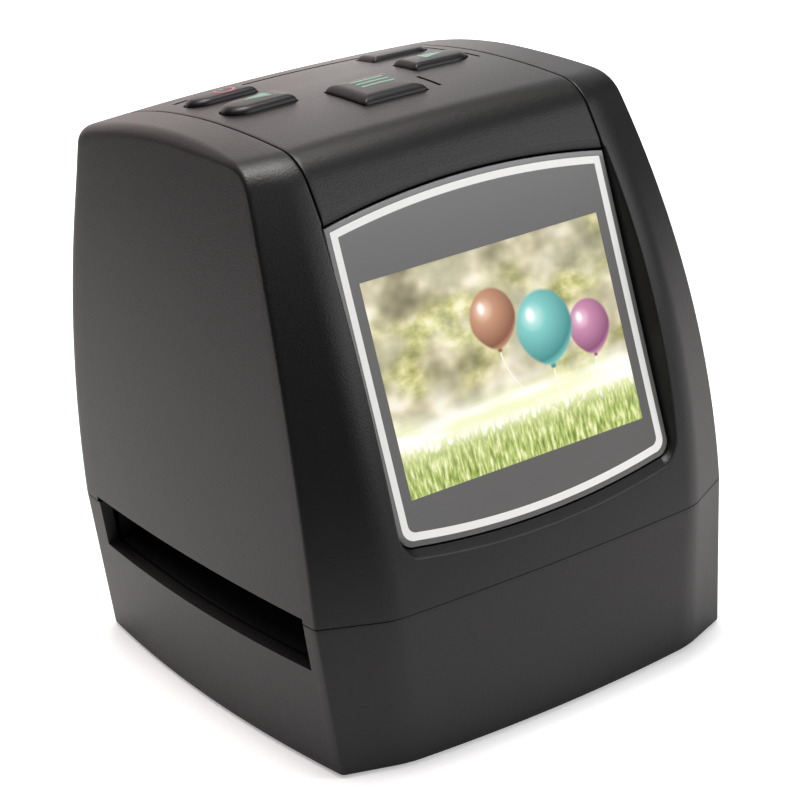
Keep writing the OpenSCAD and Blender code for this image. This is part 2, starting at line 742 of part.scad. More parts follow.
// Upper film guide, which closes the channel over the film.
module film_guide() {
    color("#1b1b1d") difference() {
        translate([0, 0, guide_z]) linear_extrude(guide_t)
            inside_strip(guide_z, -slot_front - rail_t - rail_set, slot_rear + rail_t + rail_set);
        translate([-gate_w / 2, slot_mid - gate_d / 2, guide_z - 1]) cube([gate_w, gate_d, guide_t + 2]);
    }
}

// Backlight: white box under the bed with its lamp board.
box_half_w = gate_w / 2 + 3;
box_half_d = gate_d / 2 + 3;
box_wall = 1.5;
led_board_z = 5.5;
module light_box() {
    color("#e9e9e4") difference() {
        translate([-box_half_w, slot_mid - box_half_d, led_board_z + board_t])
            cube([2 * box_half_w, 2 * box_half_d, bed_z - led_board_z - board_t]);
        translate([-box_half_w + box_wall, slot_mid - box_half_d + box_wall, led_board_z])
            cube([2 * (box_half_w - box_wall), 2 * (box_half_d - box_wall), reach]);
    }
}
module led_board() {
    color("#e6e6e0") translate([-box_half_w - 1, slot_mid - box_half_d - 1, led_board_z])
        cube([2 * box_half_w + 2, 2 * box_half_d + 2, board_t]);
}
led_nx = 4;
led_ny = 3;
led_pitch = 9;
module backlight_leds() {
    color("#fff6c8")
        for (i = [0:led_nx - 1], j = [0:led_ny - 1])
            translate([(i - (led_nx - 1) / 2) * led_pitch - 1.5,
                       slot_mid + (j - (led_ny - 1) / 2) * led_pitch - 1.5, led_board_z + board_t])
                cube([3, 3, 1]);
}

// Optics: a dark tunnel over the gate, the lens in its collar and the image sensor above.
tunnel_z = guide_z + guide_t;
tunnel_h = 24;
collar_h = 10;
tunnel_r = 21.5;
collar_r = lens_r + 3.5;
ear_x = 14;
ear_r = 3;
sensor_board_z = tunnel_z + tunnel_h + collar_h;
module optical_tunnel() {
    color("#18181a") translate([0, slot_mid, tunnel_z]) difference() {
        union() {
            cylinder(r1 = tunnel_r, r2 = collar_r + 1, h = tunnel_h);
            translate([0, 0, tunnel_h - tiny]) cylinder(r = collar_r, h = collar_h + tiny);
            for (side = [-1, 1])
                translate([side * ear_x, 0, tunnel_h]) cylinder(r = ear_r, h = collar_h);
            translate([-ear_x, -2, tunnel_h]) cube([2 * ear_x, 4, collar_h]);
            translate([-ear_x - ear_r, -ear_r, tunnel_h - 3]) cube([2 * (ear_x + ear_r), 2 * ear_r, 3]);
        }
        translate([0, 0, -tiny]) cylinder(r1 = tunnel_r - 1.6, r2 = lens_r + 0.05, h = tunnel_h + 0.02);
        cylinder(r = lens_r + 0.05, h = reach);
        for (side = [-1, 1])
            translate([side * ear_x, 0, tunnel_h + 2]) cylinder(r = screw_small, h = reach);
    }
}
barrel_z = tunnel_z + tunnel_h - 2;
module lens_barrel() {
    color("#101012") translate([0, slot_mid, barrel_z]) difference() {
        cylinder(r = lens_r, h = 8);
        translate([0, 0, -1]) cylinder(r = lens_r - 1.6, h = 3);
        translate([0, 0, -1]) cylinder(r = lens_r - 2.6, h = 20);
    }
}
module lens_glass() {
    color("#7fb6c8") translate([0, slot_mid, barrel_z + 0.6]) cylinder(r = lens_r - 1.65, h = 1.4);
}
module sensor_board() {
    color("#1f6b3f") difference() {
        translate([-ear_x - 4, slot_mid - 12, sensor_board_z]) cube([2 * ear_x + 8, 24, board_t]);
        for (side = [-1, 1])
            translate([side * ear_x, slot_mid, sensor_board_z - 1]) cylinder(r = screw_small + 0.2, h = 5);
    }
}
module image_sensor() {
    color("#32363c") translate([-4, slot_mid - 3.5, sensor_board_z - 1.4]) cube([8, 7, 1.4]);
}
module sensor_ribbon() {
    x = 8;
    color("#c98a3a") {
        translate([-x / 2, slot_mid + 6, sensor_board_z + board_t]) cube([x, 3, ribbon_t]);
        translate([-x / 2, slot_mid + 9 - tiny, sensor_board_z + board_t])
            cube([x, ribbon_t, main_board_z - sensor_board_z - board_t]);
        translate([-x / 2, slot_mid + 9 - tiny, main_board_z - ribbon_t]) cube([x, 3, ribbon_t]);
    }
}

// Detent that the film holder clicks over: a sprung plunger in the bed.
plunger_up = 0.7;
plunger_nose = 3;
flange_h = 1;
shoulder_low = bed_z + 0.6;
spring_high = shoulder_low - flange_h;
spring_low = bed_z - 4;
module detent_plunger() {
    color("#c7c9cc") translate([detent_x, detent_y, 0]) {
        translate([0, 0, spring_high]) cylinder(r = detent_flange_r, h = flange_h);
        intersection() {
            translate([0, 0, spring_high]) cylinder(r = detent_r, h = slot_floor + plunger_up - spring_high);
            union() {
                translate([0, 0, slot_floor + plunger_up - plunger_nose]) sphere(r = plunger_nose, $fn = 48);
                translate([0, 0, spring_high]) cylinder(r = detent_r, h = slot_floor - 1.5 - spring_high);
            }
        }
    }
}
spring_wire = 0.35;
spring_turns = 4;
spring_r = detent_flange_r - spring_wire - 0.1;
spring_sides = 6;
spring_ring = 14;
module detent_spring() {
    n = spring_turns * spring_ring;
    h = spring_high - spring_low - 2 * spring_wire;
    function at(t) = [spring_r * cos(360 * t * spring_turns), spring_r * sin(360 * t * spring_turns),
                      spring_low + spring_wire + h * t];
    pts = [for (j = [0:n], k = [0:spring_sides - 1])
        let (t = j / n, a = 360 * t * spring_turns, b = 360 * k / spring_sides)
        at(t) + spring_wire * [cos(a) * cos(b), sin(a) * cos(b), sin(b)]];
    m = spring_sides;
    faces = concat(
        [[for (k = [0:m - 1]) k]],
        [[for (k = [m - 1:-1:0]) n * m + k]],
        [for (j = [0:n - 1], k = [0:m - 1]) [j * m + k, (j + 1) * m + k, j * m + (k + 1) % m]],
        [for (j = [0:n - 1], k = [0:m - 1])
            [j * m + (k + 1) % m, (j + 1) * m + k, (j + 1) * m + (k + 1) % m]]);
    color("#d5d7da") translate([detent_x, detent_y, 0]) polyhedron(pts, faces, convexity = 8);
}

// Button board with its five switches.
button_board_half = 26.4;
board_y0 = -13.6;
board_y1 = 23.8;
module button_board() {
    color("#1f6b3f") difference() {
        translate([-button_board_half, board_y0, button_board_z])
            cube([2 * button_board_half, board_y1 - board_y0, board_t]);
        for (side = [-1, 1], y = board_post_ys)
            translate([side * board_post_x, y, button_board_z - 1])
                cylinder(r = screw_small + 0.2, h = board_t + 2);
    }
}
function key_at(i) = i < 4 ? keys[i] : [0, ok_y];
switch_z = button_board_z + board_t;
module switch_body(i) {
    color("#8f9296") translate([key_at(i)[0], key_at(i)[1], switch_z]) difference() {
        translate([-switch_w / 2, -switch_w / 2, 0]) cube([switch_w, switch_w, switch_h]);
        translate([0, 0, 1]) cylinder(r = stem_r + 0.05, h = switch_h);
    }
}
module stem(i) {
    color("#1d1d1f") translate([key_at(i)[0], key_at(i)[1], switch_z + 1 + key_travel + 0.2])
        cylinder(r = stem_r, h = switch_h + stem_up - 1.2 - key_travel);
}

// Button: flange under the cover, shaft through its collar and a bevelled cap.
cap_bevel = 1.1;
cap_bevel_h = 1.1;
module button(i) {
    p = key_at(i);
    low = collar_z - flange_t;
    cap_z = top_at(p[1]) + key_proud;
    color("#161618") {
        translate([0, 0, low]) linear_extrude(flange_t) outline_of(i, flange_wide);
        hull() {
            translate([0, 0, low]) linear_extrude(cap_z - cap_bevel_h - low) outline_of(i);
            translate([0, 0, cap_z - tiny]) linear_extrude(tiny) outline_of(i, -cap_bevel);
        }
    }
}

module foot(i) {
    p = foot_places[i];
    color("#101010") translate([p[0], p[1], 0]) {
        cylinder(r = foot_r - 0.3, h = 0.3);
        translate([0, 0, 0.3 - tiny]) cylinder(r = foot_r, h = foot_h + foot_sink - 0.3 + tiny);
    }
}

module screw(r, len, hr, hh) {
    difference() {
        union() {
            cylinder(r = r, h = len);
            translate([0, 0, -hh]) cylinder(r = hr, h = hh);
        }
        for (a = [0, 90])
            rotate([0, 0, a]) translate([-hr * 0.6, -0.2, -hh - 1]) cube([hr * 1.2, 0.4, 1.6]);
    }
}
module case_screws() {
    color("#8c8f93") at_columns() translate([0, 0, foot_h + head_h + 0.4])
        screw(screw_r, screw_end - foot_h - head_h - 0.4, head_r, head_h);
}
module sensor_screws() {
    color("#8c8f93") for (side = [-1, 1])
        translate([side * ear_x, slot_mid, sensor_board_z + board_t]) mirror([0, 0, 1])
            screw(screw_small - 0.1, 6, 1.7, 1);
}
module main_board_screws() {
    color("#8c8f93") for (side = [-1, 1], y = shelf_ys)
        translate([side * board_screw_x, y, socket_z]) mirror([0, 0, 1])
            screw(screw_small - 0.1, 5, 1.7, 1);
}
module button_board_screws() {
    color("#8c8f93") for (side = [-1, 1], y = board_post_ys)
        translate([side * board_post_x, y, button_board_z]) screw(screw_small - 0.1, 6, 1.7, 1);
}

bottom_housing();
upper_housing();
top_cover();
screen_window();
lcd_panel();
lcd_frame();
lcd_ribbon();
main_board();
main_chips();
usb_socket();
card_socket();
tv_jack();
film_bed();
film_guide();
diffuser();
light_box();
led_board();
backlight_leds();
optical_tunnel();
lens_barrel();
lens_glass();
sensor_board();
image_sensor();
sensor_ribbon();
detent_plunger();
detent_spring();
button_board();
switch_body(0);  // switch_power
switch_body(1);  // switch_mode
switch_body(2);  // switch_left
switch_body(3);  // switch_right
switch_body(4);  // switch_ok
stem(0);  // stem_power
stem(1);  // stem_mode
stem(2);  // stem_left
stem(3);  // stem_right
stem(4);  // stem_ok
button(0);  // button_power
button(1);  // button_mode
button(2);  // button_left
button(3);  // button_right
button(4);  // button_ok
foot(0);  // foot_front_left
foot(1);  // foot_front_right
foot(2);  // foot_rear_left
foot(3);  // foot_rear_right
case_screws();
sensor_screws();
main_board_screws();
button_board_screws();
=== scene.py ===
import math
from functools import partial

import bpy
import bmesh
import numpy as np
from mathutils import Matrix, Vector


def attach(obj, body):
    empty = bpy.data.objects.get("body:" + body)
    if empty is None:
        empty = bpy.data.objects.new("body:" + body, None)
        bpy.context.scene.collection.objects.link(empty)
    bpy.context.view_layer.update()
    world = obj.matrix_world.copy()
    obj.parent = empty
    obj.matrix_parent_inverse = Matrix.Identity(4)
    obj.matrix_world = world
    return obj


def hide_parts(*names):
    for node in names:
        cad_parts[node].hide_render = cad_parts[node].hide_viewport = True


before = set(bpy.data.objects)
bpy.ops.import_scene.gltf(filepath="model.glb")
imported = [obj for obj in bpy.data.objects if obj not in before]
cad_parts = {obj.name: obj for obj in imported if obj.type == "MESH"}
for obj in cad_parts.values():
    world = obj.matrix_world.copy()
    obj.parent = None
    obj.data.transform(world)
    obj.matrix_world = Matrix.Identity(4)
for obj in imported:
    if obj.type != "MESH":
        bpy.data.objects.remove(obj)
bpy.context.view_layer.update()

mm = 0.001
print("frame loaded")

# shape of the case, in millimetres
case = dict(frontY=-43.9, partingZ=27.8, frontRadius=142, creaseY=-37.6, creaseRadius=174, creaseX=42.15,
            sideRadius=445, frontX=31.9, frontWideZ=52.7, frontWideRadius=357, baseSide=0.071,
            baseFront=0.088, baseCrease=0.0135, baseWidth=0.05, rearY=44.4, rearLean=0.02, rearRadius=340,
            rearCorner=3.0, rearBulge=0.4, sideBulge=1.38, frontBulge=0.9, bulgeFall=0.7, baseBulge=0.8,
            apexZ=101.8, crownY=1.9, topFrontRadius=222, topRearRadius=140, shoulder=9, rearShoulder=5.5,
            crown=0.7, backRise=0.35, backFrom=8, backOver=14, softBend=1.9, reliefTo=99.2, reliefFade=26)
facetShare = 0.86   # part of the crease's rounding that lies on the facet
halvings = 40       # steps of each search by halving


def sag(radius, distance):
    # depth of an arc: radius minus the root of radius squared less distance squared
    return radius - np.sqrt(radius ** 2 - np.square(distance))


def above(z):
    # height over the parting line, or 0
    return np.maximum(0, z - case["partingZ"])


def below(z):
    # depth under the parting line, or 0
    return np.maximum(0, case["partingZ"] - z)


def creaseX(z):
    # front corner's x: an arc above the parting line, a straight taper below it
    return case["creaseX"] - sag(case["sideRadius"], above(z)) - case["baseSide"] * below(z)


def creaseY(z):
    # front corner's y: leans back by an arc above the parting line, by a slope below it
    return case["creaseY"] + sag(case["creaseRadius"], above(z)) + case["baseCrease"] * below(z)


def frontX(z):
    # half width of the front: an arc that is widest at frontWideZ, and a slope below the parting line
    up = np.maximum(z, case["partingZ"]) - case["frontWideZ"]
    return case["frontX"] - sag(case["frontWideRadius"], up) - case["baseWidth"] * below(z)


def frontY(z):
    # y of the front's edge lines: an arc above the parting line, a slope below it
    return case["frontY"] + sag(case["frontRadius"], above(z)) + case["baseFront"] * below(z)


def rearY(z):
    # y of the rear: a slope less an arc
    return case["rearY"] - case["rearLean"] * z - sag(case["rearRadius"], above(z))


def dome(t):
    # parabola: 1 less t squared, never under 0
    return np.maximum(0, 1 - np.square(t))


def upness(z):
    # 0 at the parting line, 1 at the apex
    return above(z) / (case["apexZ"] - case["partingZ"])


def sideX(y, z):
    # side surface: crease line plus a parabolic bulge over the depth
    low, high = creaseY(z), rearY(z) - case["rearCorner"]
    bulge = case["sideBulge"] * (1 - upness(z)) + below(z) / case["partingZ"]
    return creaseX(z) + bulge * dome((y - (low + high) / 2) / ((high - low) / 2))


def frontRelief(x, z):
    # front and corner facet from the front's edge line: parabola inside, slope outside, a short blend between
    ax, edge, corner = np.abs(x), frontX(z), creaseX(z)
    bulge = case["frontBulge"] * (1 - case["bulgeFall"] * upness(z))
    bulge = bulge + case["baseBulge"] * below(z) / case["partingZ"]
    inner = -bulge * dome(ax / edge)
    slope = (creaseY(z) - frontY(z)) / (corner - edge)
    out, w = ax - edge, case["softBend"]
    ramp = np.where(out < -w, 0, np.where(out > w, out, np.square(out + w) / (4 * w)))
    return inner + slope * ramp


def smooth(t):
    # t squared times (3 less 2 t), for t held between 0 and 1
    t = np.clip(t, 0, 1)
    return t * t * (3 - 2 * t)


def circleMeet(c1, r1, c2, r2, side):
    # crossing of two circles, the one on the given side of the line from c1 to c2
    c1, c2 = np.array(c1, float), np.array(c2, float)
    gap = np.linalg.norm(c2 - c1)
    along = (r1 ** 2 - r2 ** 2 + gap ** 2) / (2 * gap)
    across = math.sqrt(r1 ** 2 - along ** 2)
    way = (c2 - c1) / gap
    return c1 + way * along + side * across * np.array([-way[1], way[0]])


def arcPoints(centre, radius, start, end, count):
    # centre plus radius times the sine and cosine of an angle from straight up
    a = np.radians(np.linspace(start, end, count))
    return np.stack([centre[0] + radius * np.sin(a), centre[1] + radius * np.cos(a)], -1)


def sideProfile():
    # outline in Y and Z from the parting line in front, over the top, to the one at the rear: front arc,
    # shoulder arc, two top arcs, rear shoulder arc and a leaning rear arc, each tangent to the next
    frontC = (case["frontY"] + case["frontRadius"], case["partingZ"])
    topC = (case["crownY"], case["apexZ"] - case["topFrontRadius"])
    rearC = (case["crownY"], case["apexZ"] - case["topRearRadius"])
    r, rr = case["shoulder"], case["rearShoulder"]
    c = circleMeet(frontC, case["frontRadius"] - r, topC, case["topFrontRadius"] - r, -1)
    toFront = math.degrees(math.atan2(c[0] - frontC[0], c[1] - frontC[1]))
    toTop = math.degrees(math.atan2(c[0] - topC[0], c[1] - topC[1]))
    low, high = 70.0, 101.0  # heights between which the rear meets a shoulder circle that touches the top
    for step in range(halvings):
        z = (low + high) / 2
        rise = float(above(z))
        slope = case["rearLean"] + rise / math.sqrt(case["rearRadius"] ** 2 - rise ** 2)
        out = np.array([1, slope]) / math.hypot(1, slope)
        d = np.array([float(rearY(z)), z]) - rr * out
        if math.dist(d, rearC) < case["topRearRadius"] - rr:
            low = z
        else:
            high = z
    toRear = math.degrees(math.atan2(d[0] - rearC[0], d[1] - rearC[1]))
    parts = [arcPoints(frontC, case["frontRadius"], -90, toFront, 900),
             arcPoints(c, r, toFront, toTop, 300),
             arcPoints(topC, case["topFrontRadius"], toTop, 0, 300),
             arcPoints(rearC, case["topRearRadius"], 0, toRear, 400),
             arcPoints(d, rr, toRear, math.degrees(math.atan2(out[0], out[1])), 300)]
    zs = np.linspace(z, case["partingZ"], 600)
    parts.append(np.stack([rearY(zs), zs], -1))
    marks, pts = [0], parts[0]
    for p in parts[1:]:
        marks.append(len(pts) - 1)
        pts = np.concatenate([pts, p[1:]])
    marks.append(len(pts) - 1)
    s = np.concatenate([[0], np.cumsum(np.linalg.norm(np.diff(pts, axis=0), axis=1))])
    return s, pts, s[np.array(marks)]


# marks: arc lengths at which the front, shoulder, top front, top rear, rear shoulder and rear start, and the
# end
sTable, profileTable, sMark = sideProfile()


def profileAt(s):
    # Y and Z at arc length s, between the points of the table
    return np.interp(s, sTable, profileTable[:, 0]), np.interp(s, sTable, profileTable[:, 1])


def sOfFrontZ(z):
    # arc length at which the front, up to just over its shoulder, has height z
    n = int(np.searchsorted(sTable, sMark[1] + 3))
    return np.interp(z, profileTable[:n, 1], sTable[:n])


def sOfRearZ(z):
    # arc length at which the rear has height z
    n = int(np.searchsorted(sTable, sMark[4]))
    return np.interp(-np.asarray(z), -profileTable[n:, 1], sTable[n:])


def beltPoint(x, s):
    # belt over front, top and rear: profile at arc length s, moved back by the front relief, which fades over
    # the top, and out by the rear bulge; the top falls towards its edges by a square law and rises a little
    # at the back
    x, s = np.broadcast_arrays(np.asarray(x, float), np.asarray(s, float))
    y0, z0 = profileAt(s)
    fade = 1 - smooth((s - sMark[2]) / case["reliefFade"])
    rear = smooth((s - sMark[4]) / (sMark[5] - sMark[4]))
    over = smooth((s - sMark[1]) / (sMark[2] - sMark[1])) * (1 - rear)
    y = y0 + frontRelief(x, np.minimum(z0, case["reliefTo"])) * fade
    y = y + rear * case["rearBulge"] * dome(x / (creaseX(z0) - case["rearCorner"]))
    back = case["backRise"] * smooth((s - sMark[3] - case["backFrom"]) / case["backOver"])
    back = back * dome(x / creaseX(z0))
    z = z0 + over * (back - case["crown"] * np.square(x / creaseX(z0)))
    return np.stack([x, y, z], -1)


def beltNormal(x, s):
    # outward normal from central differences of the belt
    h = 0.05
    dx = beltPoint(np.asarray(x) + h, s) - beltPoint(np.asarray(x) - h, s)
    ds = beltPoint(x, np.asarray(s) + h) - beltPoint(x, np.asarray(s) - h)
    n = np.cross(dx, ds)
    return n / np.linalg.norm(n, axis=-1, keepdims=True)


def unit(v):
    # each vector over its own length
    return v / np.maximum(1e-9, np.linalg.norm(v, axis=-1, keepdims=True))


def bezierRows(a, e, b, steps):
    # rounded edge: quadratic Bezier curve from a to b, with the sharp edge e as its control point
    t = np.linspace(0, 1, steps + 1)[:, None, None]
    return (1 - t) ** 2 * a + 2 * t * (1 - t) * e + t ** 2 * b


def gridFaces(rows, cols, first=0):
    # quads of a grid, by the numbers of its points
    i = np.arange(rows - 1)[:, None] * cols + np.arange(cols - 1)[None, :] + first
    return np.stack([i, i + 1, i + 1 + cols, i + cols], -1).reshape(-1, 4)


def mirrored(grid):
    # x turned round, with the columns reversed
    return (np.asarray(grid) * np.array([-1, 1, 1]))[:, ::-1]


def splitRuns(stops, counts):
    # points from stop to stop, each run in its number of equal steps, without the first stop
    return np.concatenate([np.linspace(p, q, n + 1)[1:] for p, q, n in zip(stops, stops[1:], counts)])


def arcCurve(start, end, count):
    # points of a unit circle between two angles in degrees
    a = np.radians(np.linspace(start, end, count))
    return np.stack([np.cos(a), np.sin(a)], -1)


weld, sliver = 2e-6, 1e-7   # m: points closer than this are one, faces thinner than this are dropped


def smoothFaces(mesh, sharp):
    # smooth shading, apart from edges sharper than an angle
    mesh.polygons.foreach_set("use_smooth", np.ones(len(mesh.polygons), bool))
    mesh.set_sharp_from_angle(angle=math.radians(sharp))


def makeMesh(name, grids, materials, slots=None, body="case", sharp=50, closed=False):
    # joins point grids, or pairs of a grid and its kept cells, into one object; equal points are welded,
    # faces turned outwards, and for a closed piece what is still open gets a flat face
    points, faces, index, first = [], [], [], 0
    for number, grid in enumerate(grids):
        grid, keep = grid if isinstance(grid, tuple) else (grid, None)
        rows, cols = grid.shape[:2]
        points.append(grid.reshape(-1, 3))
        f = gridFaces(rows, cols, first)
        if keep is not None:
            f = f[keep.reshape(-1)]
        faces.append(f)
        index.append(np.full(len(f), 0 if slots is None else slots[number]))
        first += rows * cols
    points, faces, index = np.concatenate(points) * mm, np.concatenate(faces), np.concatenate(index)
    mesh = bpy.data.meshes.new(name)
    mesh.from_pydata(points.tolist(), [], faces.tolist())
    mesh.polygons.foreach_set("material_index", index.astype(np.int32))
    bm = bmesh.new()
    bm.from_mesh(mesh)
    bmesh.ops.remove_doubles(bm, verts=bm.verts, dist=weld)
    bmesh.ops.dissolve_degenerate(bm, edges=bm.edges, dist=sliver)
    bmesh.ops.delete(bm, geom=[v for v in bm.verts if not v.link_faces], context="VERTS")
    if closed:
        bmesh.ops.holes_fill(bm, edges=[e for e in bm.edges if e.is_boundary])
    bmesh.ops.recalc_face_normals(bm, faces=bm.faces)
    bm.to_mesh(mesh)
    bm.free()
    for m in materials:
        mesh.materials.append(m)
    n, c, a = (np.zeros(len(mesh.polygons) * k) for k in (3, 3, 1))
    for key, values in (("normal", n), ("center", c), ("area", a)):
        mesh.polygons.foreach_get(key, values)
    n, c = n.reshape(-1, 3), c.reshape(-1, 3)
    mid = (c * a[:, None]).sum(0) / a.sum()
    if ((n * (c - mid)).sum(1) * a).sum() < 0:
        mesh.flip_normals()
    smoothFaces(mesh, sharp)
    piece = bpy.data.objects.new(name, mesh)
    bpy.context.scene.collection.objects.link(piece)
    if body:
        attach(piece, body)
    return piece


def border(grid):
    # closed loop round the edge of a grid
    return np.concatenate([grid[0], grid[1:, -1], grid[-1, ::-1][1:], grid[::-1, 0][1:]])


def prism(outline, low, high):
    # upright wall over an outline of X and Y
    loop = np.concatenate([outline, outline[:1]])
    return np.stack([np.concatenate([loop, np.full((len(loop), 1), z)], 1) for z in (low, high)])


def cutAway(piece, cutters, sharp=35):
    # takes the cutters out of the piece, applies the result and drops the cutters
    for cutter in cutters:
        cut = piece.modifiers.new("cut", "BOOLEAN")
        cut.operation, cut.solver, cut.object = "DIFFERENCE", "EXACT", cutter
    graph = bpy.context.evaluated_depsgraph_get()
    mesh = bpy.data.meshes.new_from_object(piece.evaluated_get(graph))
    piece.modifiers.clear()
    piece.data = mesh
    smoothFaces(mesh, sharp)
    for cutter in cutters:
        bpy.data.objects.remove(cutter)


def toLinear(hexText):
    # sRGB to linear: c / 12.92 up to 0.04045, else ((c + 0.055) / 1.055) to the power 2.4
    c = np.array([int(hexText[i:i + 2], 16) for i in (1, 3, 5)]) / 255
    return (*np.where(c <= 0.04045, c / 12.92, ((c + 0.055) / 1.055) ** 2.4), 1)


modeOf = dict(Math="operation", VectorMath="operation", Mix="data_type", MapRange="interpolation_type")


def addNode(tree, kind, links=(), stops=()):
    # node of a kind, and of a mode named after it; an input takes a value, a socket or a node's first output
    # in use, and a colour ramp takes its stops
    kind, *mode = kind.split()
    node = tree.nodes.new("ShaderNode" + kind)
    for word in mode:
        setattr(node, modeOf[kind], word)
    for socket, value in dict(links).items():
        if isinstance(value, bpy.types.Node):
            value = next(out for out in value.outputs if out.enabled)
        if isinstance(value, bpy.types.NodeSocket):
            tree.links.new(value, node.inputs[socket])
        else:
            node.inputs[socket].default_value = value
    for number, (place, colour) in enumerate(stops):
        band = node.color_ramp.elements
        stop = band[number] if number < 2 else band.new(place)
        stop.position, stop.color = place, toLinear(colour)
    return node


def clearTree(owner):
    # empties the node tree of a material or world, and gives addNode for it
    owner.use_nodes = True
    owner.node_tree.nodes.clear()
    return partial(addNode, owner.node_tree)


driftSize = 18   # mm across the faint patches of colour in every material


def moulded(name, colour, tone, roughness, ior, grain, bump, coat=0.0, metallic=0.0, spread=0.04):
    # plain moulded or sheet stuff: a colour that drifts a little, a grain of a real size in mm, and its bump
    material = bpy.data.materials.new(name)
    add = clearTree(material)
    place = add("TexCoord").outputs["Object"]
    cloud = add("TexNoise", {"Vector": place, "Scale": 1 / (driftSize * mm), "Detail": 3.0})
    speck = add("TexNoise", {"Vector": place, "Scale": 1 / (grain * mm), "Detail": 2.0, "Roughness": 0.6})
    blend = add("Mix RGBA", {0: cloud, 6: toLinear(colour), 7: toLinear(tone)})
    rough = add("MapRange", {0: speck, 3: roughness - spread, 4: roughness + spread})
    relief = add("Bump", {"Height": speck, "Distance": bump * mm, "Strength": 1.0})
    surface = {"Base Color": blend, "Roughness": rough, "Normal": relief, "Metallic": metallic,
               "Coat Weight": coat, "Coat Roughness": 0.1}
    if not metallic:
        surface["IOR"] = ior
    add("OutputMaterial", {0: add("BsdfPrincipled", surface)})
    return material


# name, two close colours, roughness, IOR, grain and bump in mm
looks = {
    # black ABS from a spark-eroded mould: soft sheen over a fine even grain
    "case": moulded("abs_spark_textured_black", "#111111", "#141413", 0.42, 1.42, 0.36, 0.045),
    # black ABS from a finer mould: the same sheen without the grain, so edges draw clear lines
    "button": moulded("abs_polished_black", "#0f0f10", "#121213", 0.42, 1.41, 0.6, 0.004),
    # grey print behind clear cast acrylic: flat grey, mirror-like skin
    "window": moulded("acrylic_back_printed_grey", "#6a6968", "#6c6b6a", 0.2, 1.49, 3.0, 0.0, spread=0.01),
    # white print on the same acrylic: as smooth, and bright
    "print": moulded("screen_print_white", "#f8f8f4", "#fafaf6", 0.25, 1.49, 3.0, 0.0, spread=0.01),
    # dull black ABS of the film channel: hardly any sheen
    "inner": moulded("abs_plain_black", "#18181a", "#1c1c1e", 0.55, 1.53, 0.6, 0.01),
    # tinned sheet and wire: bright grey with blurred reflections
    "steel": moulded("steel_tinned_sheet", "#b4b5b6", "#c4c5c6", 0.32, 1.45, 1.5, 0.003, metallic=1.0),
    # moulded rubber: dull and slightly pitted
    "rubber": moulded("rubber_moulded_black", "#161616", "#1b1b1b", 0.85, 1.52, 0.5, 0.02),
    # opal sheet: even milky white
    "opal": moulded("acrylic_opal_white", "#eeeee9", "#f1f1ed", 0.5, 1.49, 2.0, 0.003),
    # white box that spreads the lamps' light: matt
    "white": moulded("abs_white_dull", "#e4e4df", "#e8e8e3", 0.6, 1.53, 0.8, 0.01),
    # moulded epoxy of chips: dark grey, finely sandy
    "chip": moulded("epoxy_moulded_black", "#1d1d1f", "#232325", 0.6, 1.55, 0.25, 0.01),
    # solder mask over glass fibre: green with a light gloss, the weave just felt
    "board": moulded("fibreglass_green_mask", "#1e5f38", "#226b40", 0.35, 1.55, 1.2, 0.008, coat=0.3),
    "whiteBoard": moulded("fibreglass_white_mask", "#e2e2dc", "#e8e8e2", 0.4, 1.55, 1.2, 0.006),
    # polyimide film: amber, smooth
    "flex": moulded("polyimide_amber_film", "#b9772a", "#c58432", 0.3, 1.6, 2.5, 0.004),
    # phosphor in silicone: pale yellow, soft gloss
    "lamp": moulded("silicone_phosphor_yellow", "#f0dd8c", "#f4e39a", 0.35, 1.45, 1.0, 0.004),
    # coated glass: dark blue-green, mirror-like
    "lens": moulded("glass_coated_lens", "#3f5963", "#4a6672", 0.04, 1.52, 4.0, 0.0005, coat=0.5,
                    spread=0.01),
    # pad prints on the buttons: thin, even, satin
    "redPrint": moulded("pad_print_red", "#93404e", "#9a4856", 0.4, 1.49, 1.0, 0.001),
    "greenPrint": moulded("pad_print_green", "#3d7a63", "#45826b", 0.4, 1.49, 1.0, 0.001),
}

# nodes of the frame that have each look; those that a piece replaces have it as well
nodesOf = dict(
    case="bottom_housing upper_housing top_cover", window="screen_window", opal="diffuser", white="light_box",
    steel="lcd_frame usb_socket card_socket detent_plunger detent_spring case_screws sensor_screws "
          "main_board_screws button_board_screws", lens="lcd_panel lens_glass image_sensor",
    inner="tv_jack film_bed film_guide optical_tunnel lens_barrel", flex="lcd_ribbon sensor_ribbon",
    board="main_board sensor_board button_board", chip="main_chips", whiteBoard="led_board",
    lamp="backlight_leds",
    rubber="foot_front_left foot_front_right foot_rear_left foot_rear_right")
nodeLook = {name: look for look, names in nodesOf.items() for name in names.split()}
for kind in ("power", "mode", "left", "right", "ok"):
    nodeLook.update({"switch_" + kind: "steel", "stem_" + kind: "chip", "button_" + kind: "button"})
for name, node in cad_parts.items():
    node.data.materials.clear()
    node.data.materials.append(looks[nodeLook[name]])
print("materials made")


